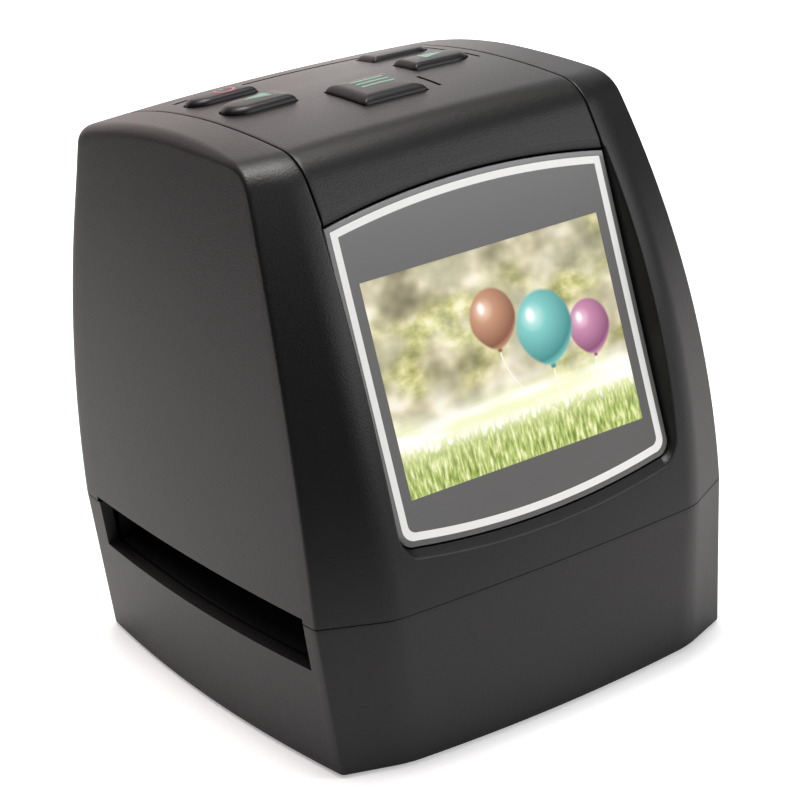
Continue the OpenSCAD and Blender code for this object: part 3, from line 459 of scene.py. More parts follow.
# layers of the picture, the farthest first. noise: scale, detail, shift and stretch of the pattern that picks
# a colour from the stops, and of the one that bounds the layer; the bound is wave times that noise plus base,
# less the height times ground, and the layer comes in from low to high, at most by most
pictureLayers = [
    # blurred foliage: cream light, grey-brown bark
    dict(noise=[(4.6, 2.2, (1, 4, 0), (1.25, 1, 1))],
         stops=((0.32, "#716a4e"), (0.43, "#a09878"), (0.52, "#c8c0a0"), (0.6, "#e8e0c8"), (0.7, "#faf6ec"))),
    # patches of yellow-green leaves
    dict(noise=[(15, 2.5, (3, 1, 0), (1, 1, 1)), (3.2, 1.5, (7, 2, 0), (1, 1, 1))], low=0.42, high=0.66,
         most=0.8, stops=((0.34, "#8a8f48"), (0.48, "#bbbb6a"), (0.6, "#ddd998"), (0.72, "#f5f1ca"))),
    # patches of grey shade
    dict(noise=[(9, 2, (0, 8, 0), (1, 1, 1)), (4.0, 1, (5, 5, 0), (1, 1, 1))], low=0.45, high=0.68, most=0.7,
         stops=((0.35, "#94907a"), (0.65, "#bdb999"))),
    # sunlit meadow behind the grass
    dict(noise=[(7, 2, (0, 3, 0), (0.5, 2, 1)), (3, 2, (4, 9, 0), (1, 0, 0))], wave=0.12, base=0.3, ground=1,
         low=-0.05, high=0.08, most=1, stops=((0.35, "#e6eabf"), (0.55, "#f7f6e6"), (0.7, "#fdfcf4"))),
    # grass: fine upright blades, paler towards its upper edge
    dict(noise=[(30, 3, (0, 0, 0), (2.6, 0.45, 1))], wave=0.2, base=0.1, ground=1, low=-0.03, high=0.035,
         most=1, pale="#d8dfa4", paleStep=(0.04, 0.24, 0.5),
         stops=((0.3, "#65752f"), (0.42, "#8ca04a"), (0.52, "#b2c070"), (0.62, "#d8dda2"),
                (0.74, "#f1efcf")))]
# balloons: place and size as parts of the picture's height, and colours from the shaded side to the lit one
balloons = [dict(u=0.48, v=0.67, size=0.125, deep="#7d4f38", colour="#bd8b6c", light="#efd2bb"),
            dict(u=0.865, v=0.5, size=0.115, deep="#834a6d", colour="#bf82a3", light="#efcadc"),
            dict(u=0.68, v=0.56, size=0.155, deep="#3a8583", colour="#78c0ba", light="#cbeee8")]
# what they share; places are from a balloon's middle in parts of its size, the string's in parts of the
# picture
balloon = dict(wide=1.33, tail=1.15, taper=0.22, tall=0.88, skin=(0.94, 1.06), knot=(0, -1.17, 0),
               knotSize=(0.05, 0.13), lit=(-0.35, 0.4, 0), litSize=1.6, glint=(-0.42, 0.336, 0),
               glintTall=0.7, glintSize=(0.04, 0.22), glintMost=0.8, anchor=(0.7, 0.13), string=0.0044,
               stringIn=0.06, stringColour="#f4f1e6")


def pictureLayer(add, uv, height, under, layer):
    # one layer over what is under it: noise through colour stops, mixed in by a smooth step of its bound
    pattern = []
    for scale, detail, shift, stretch in layer["noise"]:
        place = add("Mapping", {"Vector": uv, "Location": shift, "Scale": stretch})
        pattern.append(add("TexNoise", {"Vector": place, "Scale": scale, "Detail": detail}))
    colour = add("ValToRGB", {0: pattern[0]}, layer["stops"])
    if under is None:
        return colour
    if "pale" in layer:
        low, high, most = layer["paleStep"]
        top = add("MapRange SMOOTHSTEP", {0: height, 1: low, 2: high, 4: most})
        colour = add("Mix RGBA", {0: top, 6: colour, 7: toLinear(layer["pale"])})
    bound = add("Math MULTIPLY_ADD", {0: pattern[-1], 1: layer.get("wave", 1), 2: layer.get("base", 0)})
    bound = add("Math MULTIPLY_ADD", {0: height, 1: -layer.get("ground", 0), 2: bound})
    mask = add("MapRange SMOOTHSTEP", {0: bound, 1: layer["low"], 2: layer["high"], 4: layer["most"]})
    return add("Mix RGBA", {0: mask, 6: under, 7: colour})


def pictureString(add, across, height, under, one, low):
    # string: from the knot down to the anchor it bends by the square of the way down, and fades out in the
    # grass
    endU, endV = balloon["anchor"]
    part = add("MapRange", {0: height, 1: low, 2: endV})
    part = add("Math MULTIPLY", {0: part, 1: part})
    middle = add("Math MULTIPLY_ADD", {0: part, 1: endU - one["u"], 2: one["u"]})
    aside = add("Math SUBTRACT", {0: across, 1: middle})
    aside = add("Math ABSOLUTE", {0: aside})
    line = add("MapRange SMOOTHSTEP", {0: aside, 1: 0, 2: balloon["string"], 3: 1, 4: 0})
    grass = add("MapRange SMOOTHSTEP", {0: height, 1: endV, 2: endV + balloon["stringIn"]})
    hung = add("Math LESS_THAN", {0: height, 1: low})
    hung = add("Math MULTIPLY", {0: grass, 1: hung})
    line = add("Math MULTIPLY", {0: line, 1: hung})
    return add("Mix RGBA", {0: line, 6: under, 7: toLinear(balloon["stringColour"])})


def pictureBalloon(add, uv, under, one):
    # knot, egg and glint: each a smooth step of the distance from its middle; the egg narrows with the square
    # of the way down, and its colour goes by the distance from the lit side
    wide, size = balloon["wide"] / one["size"], one["size"]
    corner = (-one["u"] * wide, -one["v"] / size, 0)
    place = add("Mapping", {"Vector": uv, "Location": corner, "Scale": (wide, 1 / size, 0)})
    lower = add("Math MINIMUM", {0: add("SeparateXYZ", {0: place}).outputs[1], 1: 0})
    lower = add("Math MULTIPLY", {0: lower, 1: lower})
    narrow = add("Math MULTIPLY_ADD", {0: lower, 1: balloon["taper"], 2: 1})
    egg = add("CombineXYZ", {0: narrow, 1: balloon["tall"]})
    egg = add("VectorMath MULTIPLY", {0: place, 1: egg})
    egg = add("VectorMath LENGTH", {0: egg})
    lit = add("VectorMath DISTANCE", {0: place, 1: balloon["lit"]})
    lit = add("Math DIVIDE", {0: lit, 1: balloon["litSize"]})
    skin = add("ValToRGB", {0: lit},
               zip((0, 0.3, 0.85, 1), (one[k] for k in ("light", "colour", "deep", "colour"))))
    knot = add("VectorMath DISTANCE", {0: place, 1: balloon["knot"]})
    glint = add("VectorMath MULTIPLY", {0: place, 1: (1, balloon["glintTall"], 1)})
    glint = add("VectorMath DISTANCE", {0: glint, 1: balloon["glint"]})
    for away, (near, far), most, colour in ((knot, balloon["knotSize"], 1, toLinear(one["deep"])),
                                            (egg, balloon["skin"], 1, skin),
                                            (glint, balloon["glintSize"], balloon["glintMost"],
                                             (1, 1, 1, 1))):
        mask = add("MapRange SMOOTHSTEP", {0: away, 1: near, 2: far, 3: most, 4: 0})
        under = add("Mix RGBA", {0: mask, 6: under, 7: colour})
    return under


def pictureMaterial():
    # lit screen: soft-focus foliage over a sunlit meadow, with three balloons tied down in the grass; it
    # glows a little, as a backlit panel does, under a clear hard coat
    material = bpy.data.materials.new("lcd_lit_picture")
    add = clearTree(material)
    uv = add("TexCoord").outputs["UV"]
    across, height, _ = add("SeparateXYZ", {0: uv}).outputs
    picture = None
    for layer in pictureLayers:
        picture = pictureLayer(add, uv, height, picture, layer)
    for one in balloons:
        low = one["v"] - balloon["tail"] * one["size"]
        picture = pictureString(add, across, height, picture, one, low)
        picture = pictureBalloon(add, uv, picture, one)
    surface = add("BsdfPrincipled", {"Base Color": picture, "Emission Color": picture,
                                     "Emission Strength": 0.35, "Roughness": 0.25, "IOR": 1.49,
                                     "Coat Weight": 1.0, "Coat Roughness": 0.04})
    add("OutputMaterial", {0: surface})
    return material


looks["picture"] = pictureMaterial()

# window: its plane, its outline and the well around it, whose walls lean out by their flare over each mm of
# height
windowShape = dict(tilt=14.3, y=-36.0, z=63.7, halfW=27.6, up=26.3, down=26.3, arch=2.6, belly=2.1,
                   corner=2.8, gap=0.3, sideFlare=0.29, bottomFlare=1.57, lip=0.28, wallDeep=1.3)
lean = math.radians(windowShape["tilt"])
planeUp = np.array([0, math.sin(lean), math.cos(lean)])
planeOut = np.array([0, -math.cos(lean), math.sin(lean)])
planeMid = np.array([0, windowShape["y"], windowShape["z"]])


def onPlane(u, w, n):
    # point of the window plane: u across, w up the plane, n out of it
    u, w, n = np.broadcast_arrays(np.asarray(u, float), np.asarray(w, float), np.asarray(n, float))
    return planeMid + u[..., None] * np.array([1, 0, 0]) + w[..., None] * planeUp + n[..., None] * planeOut


def wellPath(gap):
    # right half of the well's outline from the middle of its belly to its upper corner, a parabola, a quarter
    # circle and a straight side, with the way each point flares and the number of the point where its side
    # begins
    s = windowShape
    hw, r = s["halfW"] + gap, s["corner"] + gap
    low = -s["down"] - gap
    x = (hw - r) * np.concatenate([np.linspace(0, 0.9, 19), np.linspace(0.92, 1, 5)])
    belly = np.stack([x, low - s["belly"] * dome(x / (hw - r))], -1)
    corner = np.array([hw - r, low + r]) + r * arcCurve(-90, 0, 11)[1:]
    w = np.linspace(low + r, s["up"] + gap, 56)[1:]
    side = np.stack([np.full_like(w, hw), w], -1)
    turn = np.concatenate([np.zeros(len(x)), smooth(np.linspace(0, 1, 11)[1:]), np.ones(len(w))])
    flare = np.stack([turn * s["sideFlare"], -(1 - turn) * s["bottomFlare"]], -1)
    return np.concatenate([belly, corner, side]), flare, len(x) + 4


def lipOfWell():
    # where the flared wall of the well meets the front: the height n over the window plane is found by
    # halving
    path, flare, corner = wellPath(windowShape["gap"])
    low, high = np.full(len(path), -1.0), np.full(len(path), 9.0)
    for step in range(halvings):
        n = (low + high) / 2
        p = onPlane(*(path + flare * n[:, None]).T, n)
        inside = p[:, 1] > beltPoint(p[:, 0], sOfFrontZ(p[:, 2]))[:, 1]
        low, high = np.where(inside, n, low), np.where(inside, high, n)
    return path, p[:, 0], sOfFrontZ(p[:, 2]), corner


# upper housing, in mm; the last rows are numbers of rows, steps and cells
upper = dict(seamX=27.75, rearZ=85.4, wall=1.9, lip=0.22, under=0.5, rimDeep=2.2, creaseEdge=0.55,
             topEdge=1.8, rearEdge=3.2, edgeFrom=-2, edgeOver=30, rearOver=15, parting=0.06, slotRoof=28.7,
             slotFront=-34.2, slotRear=37.0, chinRows=14, beltCols=26, edgeSteps=5, lipSteps=3,
             seamRuns=(25, 41, 15, 2), downRuns=(3, 3, 1, 4, 1, 38), panelRuns=(9, 1, 2, 3, 1, 6))
# openings in the rear: x from and to, z from and to; the round one has its middle and radius in a square of
# cells
rearHoles = dict(usb=(-21.1, -12.9, 76.0, 79.6), card=(-11.8, 15.8, 76.0, 80.0), jack=(24.0, 79.3, 3.3),
                 jackCells=(20.0, 75.2, 83.4), deep=1.9)


def edgeWidth(s):
    # width of the rounded edge beside arc length s: narrow on the crease, wide over the top and the rear
    t = smooth((s - sMark[1] - upper["edgeFrom"]) / upper["edgeOver"])
    front = upper["creaseEdge"] + (upper["topEdge"] - upper["creaseEdge"]) * t
    return front + (upper["rearEdge"] - upper["topEdge"]) * smooth((s - sMark[4]) / upper["rearOver"])


def rearPanel(wide):
    # rear panel with its three openings: cells are left out, and a wall goes straight in from the edge of
    # each one
    keep = np.ones((wide.shape[0] - 1, wide.shape[1] - 1), bool)
    inward = np.array([0, -rearHoles["deep"], 0])
    x, z = wide[0, :, 0], wide[:, 0, 2]
    grids = []
    for left, right, low, high in (rearHoles["usb"], rearHoles["card"],
                                   (rearHoles["jackCells"][0], x[-1], *rearHoles["jackCells"][1:])):
        i0, i1 = (int(np.argmin(np.abs(z - v))) for v in (high, low))
        j0, j1 = (int(np.argmin(np.abs(x - v))) for v in (left, right))
        keep[i0:i1, j0:j1] = False
        loop = border(wide[i0:i1 + 1, j0:j1 + 1])
        if right == x[-1]:
            # round opening: rays from its middle through the square's points
            cx, cz, r = rearHoles["jack"]
            ray = unit(loop[:, [0, 2]] - np.array([cx, cz]))
            circle = np.stack([cx + r * ray[:, 0], loop[:, 1], cz + r * ray[:, 1]], -1)
            circle[:, 1] = np.interp(circle[:, 2], z[::-1], wide[::-1, (j0 + j1) // 2, 1])
            between = loop + (circle - loop) * np.array([0, 0.5, 1])[:, None, None]
            grids.append(between)
            loop = circle
        grids.append(np.stack([loop, loop + inward]))
    return [(wide, keep)] + grids


def edgeToSide(strip, edge, width):
    # rounded edge between belt and side, and its line on the side: the sharp edge moved inwards by the width
    tangent = unit(np.gradient(edge[:, 1:], axis=0))
    inward = np.stack([tangent[:, 1], -tangent[:, 0]], -1)
    inward[:2], inward[-2:] = (1, 0), (-1, 0)
    onSide = edge.copy()
    onSide[:, 1:] += inward * width[:, None]
    onSide[0, 2], onSide[-1, 2] = edge[0, 2], edge[-1, 2]
    onSide[:, 0] = sideX(onSide[:, 1], onSide[:, 2])
    return bezierRows(strip[:, -1], edge, onSide, upper["edgeSteps"]).transpose(1, 0, 2), onSide


def sidePatch(onSide, front):
    # side: Coons patch in Y and Z between the crease, the top edge, the rear corner and the parting line,
    # with the slot's roof cut up into the last; front is the number of the crease's last point
    rear = len(onSide) - 1 - front
    frontB, topB, rearB = onSide[:front + 1, 1:], onSide[front:rear + 1, 1:], onSide[rear:, 1:][::-1]
    a = (topB[:, 0] - topB[0, 0]) / (topB[-1, 0] - topB[0, 0])
    a = 0.5 * a + 0.5 * np.linspace(0, 1, len(a))
    bottom = np.stack([frontB[0, 0] + (rearB[0, 0] - frontB[0, 0]) * a, np.full(len(a), frontB[0, 1])], -1)
    i0, i1 = (int(np.argmin(np.abs(bottom[:, 0] - upper[k]))) for k in ("slotFront", "slotRear"))
    bottom[i0:i0 + 2, 0], bottom[i1 - 1:i1 + 1, 0] = upper["slotFront"], upper["slotRear"]
    bottom[i0 + 1:i1, 1] = upper["slotRoof"]
    b = np.concatenate([[0], np.cumsum(np.linalg.norm(np.diff(frontB, axis=0), axis=1))])
    b = (b / b[-1])[:, None, None]
    a = np.linspace(0, 1, len(bottom))[None, :, None]
    corners = (1 - a) * (1 - b) * frontB[0] + a * (1 - b) * rearB[0]
    corners = corners + (1 - a) * b * topB[0] + a * b * topB[-1]
    yz = (1 - a) * frontB[:, None] + a * rearB[:, None] + (1 - b) * bottom[None] + b * topB[None] - corners
    return np.concatenate([sideX(yz[..., 0], yz[..., 1])[..., None], yz], -1)


def holeWall(path, loopX, loopS, skin):
    # wall of the hole for window and cover: a lip rounded from the skin over the sharp edge, then down to the
    # window plane beside the well, and straight in beside the seam
    k, lip = len(path), windowShape["lip"]
    sharp, normal = beltPoint(loopX, loopS), beltNormal(loopX, loopS)
    deep = sharp - normal * upper["wall"]
    deep[:k] = onPlane(*path.T, 0.0)
    lowest = deep - normal * upper["under"]
    lowest[:k] = deep[:k] - planeOut * windowShape["wallDeep"]
    size = np.where(np.arange(len(sharp)) < k, lip, upper["lip"])[:, None]
    depth = np.linalg.norm(deep - sharp, axis=1, keepdims=True)
    lipEnd = sharp + unit(deep - sharp) * np.minimum(size, 0.45 * depth)
    return np.concatenate([bezierRows(skin, sharp, lipEnd, upper["lipSteps"]), deep[None], lowest[None]])


def lowerReturn(rim):
    # lower edge turned into the case: each point goes inwards, square to the rim
    plan = unit(np.gradient(rim[:, :2], axis=0) + 1e-9)
    inwards = np.concatenate([np.stack([-plan[:, 1], plan[:, 0]], -1), np.zeros((len(rim), 1))], -1)
    inwards[0], inwards[-1] = (0, 1, 0), (0, -1, 0)
    return np.stack([rim, rim + inwards * upper["rimDeep"]])


def upperHousing():
    # right half as grids: belt strip, rounded edge, side, chin under the window, hole wall and lower return;
    # the left half mirrors it, and the rear panel under the cover spans both
    path, lipX, lipS, corner = lipOfWell()
    k = len(path)
    # the skin begins a lip's width away from the well, downwards below it and outwards beside it
    turn = smooth((np.arange(k) - (corner - 5)) / 10)
    away = unit(np.stack([turn, turn - 1], -1)) * windowShape["lip"]
    surfX, surfS = lipX + away[:, 0], lipS + away[:, 1]
    # rows up the strip: the chin, the well's side, the seam over the top and down the rear, the rear panel
    t = np.linspace(0, 1, upper["chinRows"] + 1)
    rise = smooth(t) * 0.35 + t * 0.65
    sStart, sRear = upper["parting"], float(sOfRearZ(upper["rearZ"])) + upper["lip"]
    seamS = splitRuns([surfS[-1], sMark[2], sMark[4], sMark[5], sRear], upper["seamRuns"])
    usb, card, jack = rearHoles["usb"], rearHoles["card"], rearHoles["jackCells"]
    stops = sOfRearZ([jack[2], card[3], usb[3], usb[2], jack[1]])
    downS = splitRuns([sRear, *stops, sTable[-1] - upper["parting"]], upper["downRuns"])
    chinS = sStart + (surfS[corner] - sStart) * rise
    rowS = np.concatenate([chinS[:-1], surfS[corner:], seamS, downS])
    seamX = np.full(len(seamS) + len(downS), upper["seamX"] + upper["lip"])
    inX = np.concatenate([np.full(upper["chinRows"], surfX[corner]), surfX[corner:], seamX])
    first = upper["chinRows"] + k - corner
    rearRow = first + len(seamS) - 1
    edgeX, width = creaseX(profileAt(rowS)[1]), edgeWidth(rowS)
    outX = edgeX - width * np.where(rowS < sMark[1], facetShare, 1.0)
    c = np.linspace(0, 1, upper["beltCols"])[None, :]
    c = 0.75 * c + 0.25 * smooth(c)
    strip = beltPoint(inX[:, None] + (outX - inX)[:, None] * c, rowS[:, None])
    rounded, onSide = edgeToSide(strip, beltPoint(edgeX, rowS), width)
    side = sidePatch(onSide, int(np.argmin(np.abs(rowS - (sMark[1] + sMark[2]) / 2))))
    # chin and rear panel
    chinX, chinTop = surfX[:corner + 1], surfS[:corner + 1]
    chin = beltPoint(chinX[None, :], sStart + (chinTop - sStart)[None, :] * rise[:, None])
    stops = [0, card[1] - 4, -usb[1], card[1], jack[0], -usb[0], inX[-1]]
    panelX = np.concatenate([[0], splitRuns(stops, upper["panelRuns"])])
    wide = beltPoint(np.concatenate([-panelX[::-1], panelX[1:]])[None, :], rowS[rearRow:, None])
    panel = wide[:, len(panelX) - 1:]
    # hole: round the well, up the seam and back to the middle along the cover's rear edge
    toMiddle = panelX[::-1][1:]
    loopX = np.concatenate([lipX, np.full(len(seamS), upper["seamX"]),
                            toMiddle - upper["lip"] * (toMiddle > 0)])
    loopS = np.concatenate([lipS, seamS[:-1], np.full(len(panelX), sRear - upper["lip"])])
    skin = np.concatenate([beltPoint(surfX, surfS),
                           beltPoint(inX[first:rearRow + 1], rowS[first:rearRow + 1]),
                           panel[0, ::-1][1:]])
    rim = np.concatenate([chin[0], strip[0, 1:], rounded[0, 1:], side[0, 1:], rounded[-1, ::-1][1:],
                          strip[-1, ::-1][1:], panel[-1, ::-1][1:]])
    half = [strip, rounded, side, chin, holeWall(path, loopX, loopS, skin), lowerReturn(rim)]
    return makeMesh("upper_shell", half + [mirrored(g) for g in half] + rearPanel(wide), [looks["case"]])


shell = upperHousing()
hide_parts("upper_housing")
print("upper housing made", len(shell.data.polygons))

# top cover, in mm; near its front edge it bends in along a line
cover = dict(halfW=27.5, rearZ=85.7, frontGap=0.5, wall=1.8, lip=0.2, bend=1.5, bendIn=0.3, hole=0.28,
             cols=89, rows=96, near=(0.7, 1.42, 1.5, 1.58, 2.4, 3.4))
# buttons: middle, how far they stand out of the cover, depth and width of the bevel; long ones have a round
# outer end
keys = dict(power=dict(x=-18.1, y=16.7, out=1.3, depth=6.2, bevel=1.4),
            mode=dict(x=18.1, y=16.7, out=0.95, depth=6.2, bevel=1.35),
            left=dict(x=-18.1, y=4.2, out=1.4, depth=7.2, bevel=1.5),
            right=dict(x=18.1, y=4.2, out=1.2, depth=7.2, bevel=1.45),
            ok=dict(x=0, y=-5, out=1.35, depth=12.6, bevel=2.2))
cap = dict(length=12.4, corner=0.55, leastCorner=0.04, drop=1.2, crown=0.1, squareCrown=0.08, low=96.0,
           under=0.05, skirt=5, skirtEnd=0.6)
# engraved lines: X, Y and half width along each; their section as parts of the half width and mm out of the
# surface
grooves = [[(-23.5, 23.0, 0.6), (-21, 23.6, 0.64), (-14, 23.9, 0.66), (-7, 24.0, 0.66), (0, 23.7, 0.66),
            (8, 22.9, 0.66), (14, 21.9, 0.6), (18, 21.1, 0.5), (21.2, 20.8, 0.4), (23.1, 20.3, 0.32),
            (24.5, 19.1, 0.28), (25.2, 17.3, 0.26), (25.3, 15.5, 0.26), (25.2, 13.5, 0.26), (25.2, 9.2, 0.26),
            (25.2, 4.2, 0.27), (25.2, 0.4, 0.28)],
           [(9.7, -2.9, 0.32), (9.3, -10.5, 0.32)]]
grooveCut = [(1, 3), (1, -0.6), (0.7, -0.75), (-0.7, -0.75), (-1, -0.6), (-1, 3)]
grooveStep = 0.6


def coverFront(x):
    # arc length of the cover's front edge: halving until the belt's height up the window plane is the
    # window's arch plus the gap
    s = windowShape
    want = s["up"] + cover["frontGap"] + s["arch"] * (1 - np.square(x / s["halfW"]))
    low, high = np.full_like(x, sMark[1] - 25), np.full_like(x, sMark[2])
    for step in range(halvings):
        mid = (low + high) / 2
        under = (beltPoint(x, mid) - planeMid) @ planeUp < want
        low, high = np.where(under, mid, low), np.where(under, high, mid)
    return mid


def coverGrid(inset):
    # belt surface of the cover and its normals, its edges drawn in by the inset
    x = np.linspace(-1, 1, cover["cols"]) * (cover["halfW"] - inset)
    front = coverFront(x)
    rear = float(sOfRearZ(cover["rearZ"])) - inset
    near = np.array([inset, *cover["near"]])
    far = np.linspace(0, 1, cover["rows"])[1:]
    s = np.concatenate([front + near[:, None], front + near[-1] + (rear - front - near[-1]) * far[:, None]])
    x = np.broadcast_to(x, s.shape)
    drop, normal = cover["bendIn"] * np.clip(1 - (s - front) / cover["bend"], 0, 1), beltNormal(x, s)
    return beltPoint(x, s) - normal * drop[..., None], normal


def keyOutline(kind, inset):
    # outline of a button's cap drawn in by the inset: half circle and square end, or a square; it has the
    # same points for every inset, and they meet on a line or a point when the inset is half the depth
    half = keys[kind]["depth"] / 2 - inset
    r = min(max(cap["corner"] - inset * 0.7, cap["leastCorner"]), max(half, 0))
    if kind == "ok":
        loop = np.concatenate([np.array(m) * (half - r) + r * arcCurve(a, a + 90, 5)
                               for m, a in (((1, 1), 0), ((-1, 1), 90), ((-1, -1), 180), ((1, -1), 270))])
        runs = ([1] * 4 + [12]) * 4
    else:
        wide = cap["length"] / 2 - inset
        corners = [np.array([r - wide, (half - r) * m]) + r * arcCurve(a, a + 90, 5)
                   for m, a in ((1, 90), (-1, 180))]
        loop = np.concatenate([np.array([wide - half, 0]) + half * arcCurve(-90, 90, 25), *corners])
        runs = [1] * 24 + [9] + [1] * 4 + [6] + [1] * 4 + [9]
        if kind in ("power", "left"):
            loop = loop * np.array([-1, 1])
    # straight runs are split into short ones
    after = np.roll(loop, -1, axis=0)
    return np.concatenate([p + (q - p) * np.arange(n)[:, None] / n for p, q, n in zip(loop, after, runs)])


def topS(y):
    # arc length at which the top has this y
    n0, n1 = np.searchsorted(sTable, (sMark[2], sMark[5]))
    return np.interp(y, profileTable[n0:n1, 0], sTable[n0:n1])


def capHeight(kind, x, y):
    # top of a cap: the cover's own height plus what the button stands out
    return beltPoint(x, topS(y))[..., 2] + keys[kind]["out"] - cap["under"]


def crownFall(kind, deep):
    # fall from the middle of a cap at a distance inside its outline: crown times (1 less part of the way)
    # squared
    k = keys[kind]
    part = np.clip((deep - k["bevel"]) / (k["depth"] / 2 - k["bevel"]), 0, 1)
    return cap["squareCrown" if kind == "ok" else "crown"] * (1 - part) ** 2


def buttonCap(kind):
    # cap: outline rings drawn in by d; the height falls by a quarter ellipse over the bevel, and rises a
    # little to the middle
    k = keys[kind]
    deepest, b, h, crown = k["depth"] / 2, k["bevel"], cap["drop"], float(crownFall(kind, 0))
    turn = np.radians(np.linspace(0, 90, 11))
    rings = [(0.0, -h - cap["skirt"]), (0.0, -h - crown - cap["skirtEnd"])]
    rings += [(b * (1 - math.cos(t)), -crown - h * (1 - math.sin(t))) for t in turn]
    rings += [(d, -float(crownFall(kind, d))) for d in np.linspace(b, deepest, 7)[1:]]
    grid = []
    for inset, fall in rings:
        loop = keyOutline(kind, inset) + np.array([k["x"], k["y"]])
        loop = np.concatenate([loop, loop[:1]])
        z = capHeight(kind, loop[:, 0], loop[:, 1]) + fall
        grid.append(np.concatenate([loop, z[:, None]], 1))
    grid[0][:, 2] = cap["low"]
    piece = makeMesh("key_" + kind, [np.stack(grid)], [looks["button"]], body=kind + "_button",
                     sharp=60, closed=True)
    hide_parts("button_" + kind)


# printed marks on the buttons, in mm from the middle of each
mark = dict(lift=0.03, skirt=0.14, leftArrow=((-2.2, 0.6), (2.9, 2.35), (2.9, -0.9)),
            rightArrow=((2.4, 0.5), (-2.2, -1.1), (-2.2, 2.2)), ringAt=(1.2, -0.1), ring=1.7, line=0.58,
            gap=32, stem=(0.1, 1.7), bars=(3.2, 1.4, -0.4), barHalf=(3.3, 0.36), barX=0.3)


def printedMark(name, kind, look, grids):
    # thin film of print: each grid of X and Y is laid on the cap, with a skirt going down into it
    laid = []
    for grid in grids:
        grid = np.asarray(grid, float)
        deep = np.linalg.norm(grid[..., None, :] - keyOutline(kind, 0), axis=-1).min(axis=-1)
        grid = grid + np.array([keys[kind]["x"], keys[kind]["y"]])
        z = capHeight(kind, grid[..., 0], grid[..., 1]) - crownFall(kind, deep) + mark["lift"]
        top = np.concatenate([grid, z[..., None]], -1)
        rim = border(top)
        laid += [top, np.stack([rim, rim - np.array([0, 0, mark["skirt"]])])]
    makeMesh(name, laid, [looks[look]], body=kind + "_button", closed=True)


def triangleGrid(tip, upper, lower):
    # triangle as rows from its tip to its base
    tip, upper, lower = (np.array(p, float) for p in (tip, upper, lower))
    t, w = np.linspace(0, 1, 9)[:, None, None], np.linspace(0, 1, 7)[None, :, None]
    return tip + t * (upper + w * (lower - upper) - tip)


def buttonMarks():
    # arrows, a power sign as a ring open at the back with a bar in the opening, and three bars of a menu
    printedMark("mark_left", "left", "greenPrint", [triangleGrid(*mark["leftArrow"])])
    printedMark("mark_right", "right", "greenPrint", [triangleGrid(*mark["rightArrow"])])
    half = mark["line"] / 2
    r = np.array([mark["ring"] - half, mark["ring"] + half])[:, None, None]
    ring = r * arcCurve(90 + mark["gap"], 450 - mark["gap"], 41) + np.array(mark["ringAt"])
    bar = np.array([[(x + mark["ringAt"][0], y) for x in (-half, half)] for y in mark["stem"]])
    printedMark("mark_power", "power", "redPrint", [ring, bar])
    wide, half = mark["barHalf"]
    x = np.linspace(-wide, wide, 13) + mark["barX"]
    bars = [np.stack([np.stack([x, np.full(13, y + s * half)], -1) for s in (-1, 1)]) for y in mark["bars"]]
    printedMark("mark_menu", "ok", "greenPrint", bars)


def grooveCutter(points):
    # cutter for an engraved line: its section carried along the line, at the height of the cover's own
    # surface; corners are rounded first by cutting a quarter off each end of each run, three times over
    points = np.array(points, float)
    for step in range(3):
        p, q = points[:-1, None], points[1:, None]
        cutCorners = np.concatenate([0.75 * p + 0.25 * q, 0.25 * p + 0.75 * q], 1).reshape(-1, 3)
        points = np.concatenate([points[:1], cutCorners, points[-1:]])
    at = np.concatenate([[0], np.cumsum(np.linalg.norm(np.diff(points[:, :2], axis=0), axis=1))])
    t = np.linspace(0, at[-1], int(at[-1] / grooveStep) + 2)
    x, y, half = (np.interp(t, at, points[:, i]) for i in range(3))
    way = unit(np.stack([np.gradient(x), np.gradient(y)], -1))
    across = np.stack([-way[:, 1], way[:, 0]], -1)
    section = np.array(grooveCut + grooveCut[:1])
    xy = np.stack([x, y], -1)[:, None] + across[:, None] * section[None, :, :1] * half[:, None, None]
    z = beltPoint(xy[..., 0], topS(xy[..., 1]))[..., 2] + section[None, :, 1]
    return np.concatenate([xy, z[..., None]], -1)


def topCover():
    # the belt's surface, a rounded lip round it and a wall inwards, with the buttons' holes and the lines cut
    # out
    skin, edge, normal = coverGrid(cover["lip"])[0], *coverGrid(0.0)
    inner = edge - normal * cover["wall"]
    sharp, deep = border(edge), border(inner)
    lipEnd = sharp + unit(deep - sharp) * cover["lip"]
    ring = np.concatenate([bezierRows(border(skin), sharp, lipEnd, 3), deep[None]])
    piece = makeMesh("cover_shell", [skin, ring, inner], [looks["case"]])
    holes = [prism(keyOutline(kind, -cover["hole"]) + np.array([k["x"], k["y"]]), 90, 108)
             for kind, k in keys.items()]
    lines = [grooveCutter(points) for points in grooves]
    cutAway(piece, [makeMesh(name, grids, [looks["case"]], body=None, closed=True)
                    for name, grids in (("holes", holes), ("lines", lines))])
    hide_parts("top_cover")


topCover()
for kind in keys:
    buttonCap(kind)
buttonMarks()
print("top cover and buttons made")

# lower housing, in mm
lower = dict(floorZ=0.5, edge=0.35, wall=2.0, floor=2, gap=0.06, lip=0.12, crease=0.55)
# film slot: its sections along X, and at the mouths and further in its rear end and its floor
slotCut = dict(x=(-44.55, -40.35, 40.35, 44.55), front=-34.2, rear=(36.8, 35.6), floor=(18.5, 19.7), top=30.7)
# recesses underneath: radius, depth, and X and Y of one on the right; each has a twin on the left
recesses = dict(feet=(5.1, 1.1, (32, -29.6), (32, 33.6)), screws=(2.05, 3, (28, -38.4), (28, 39.9)))


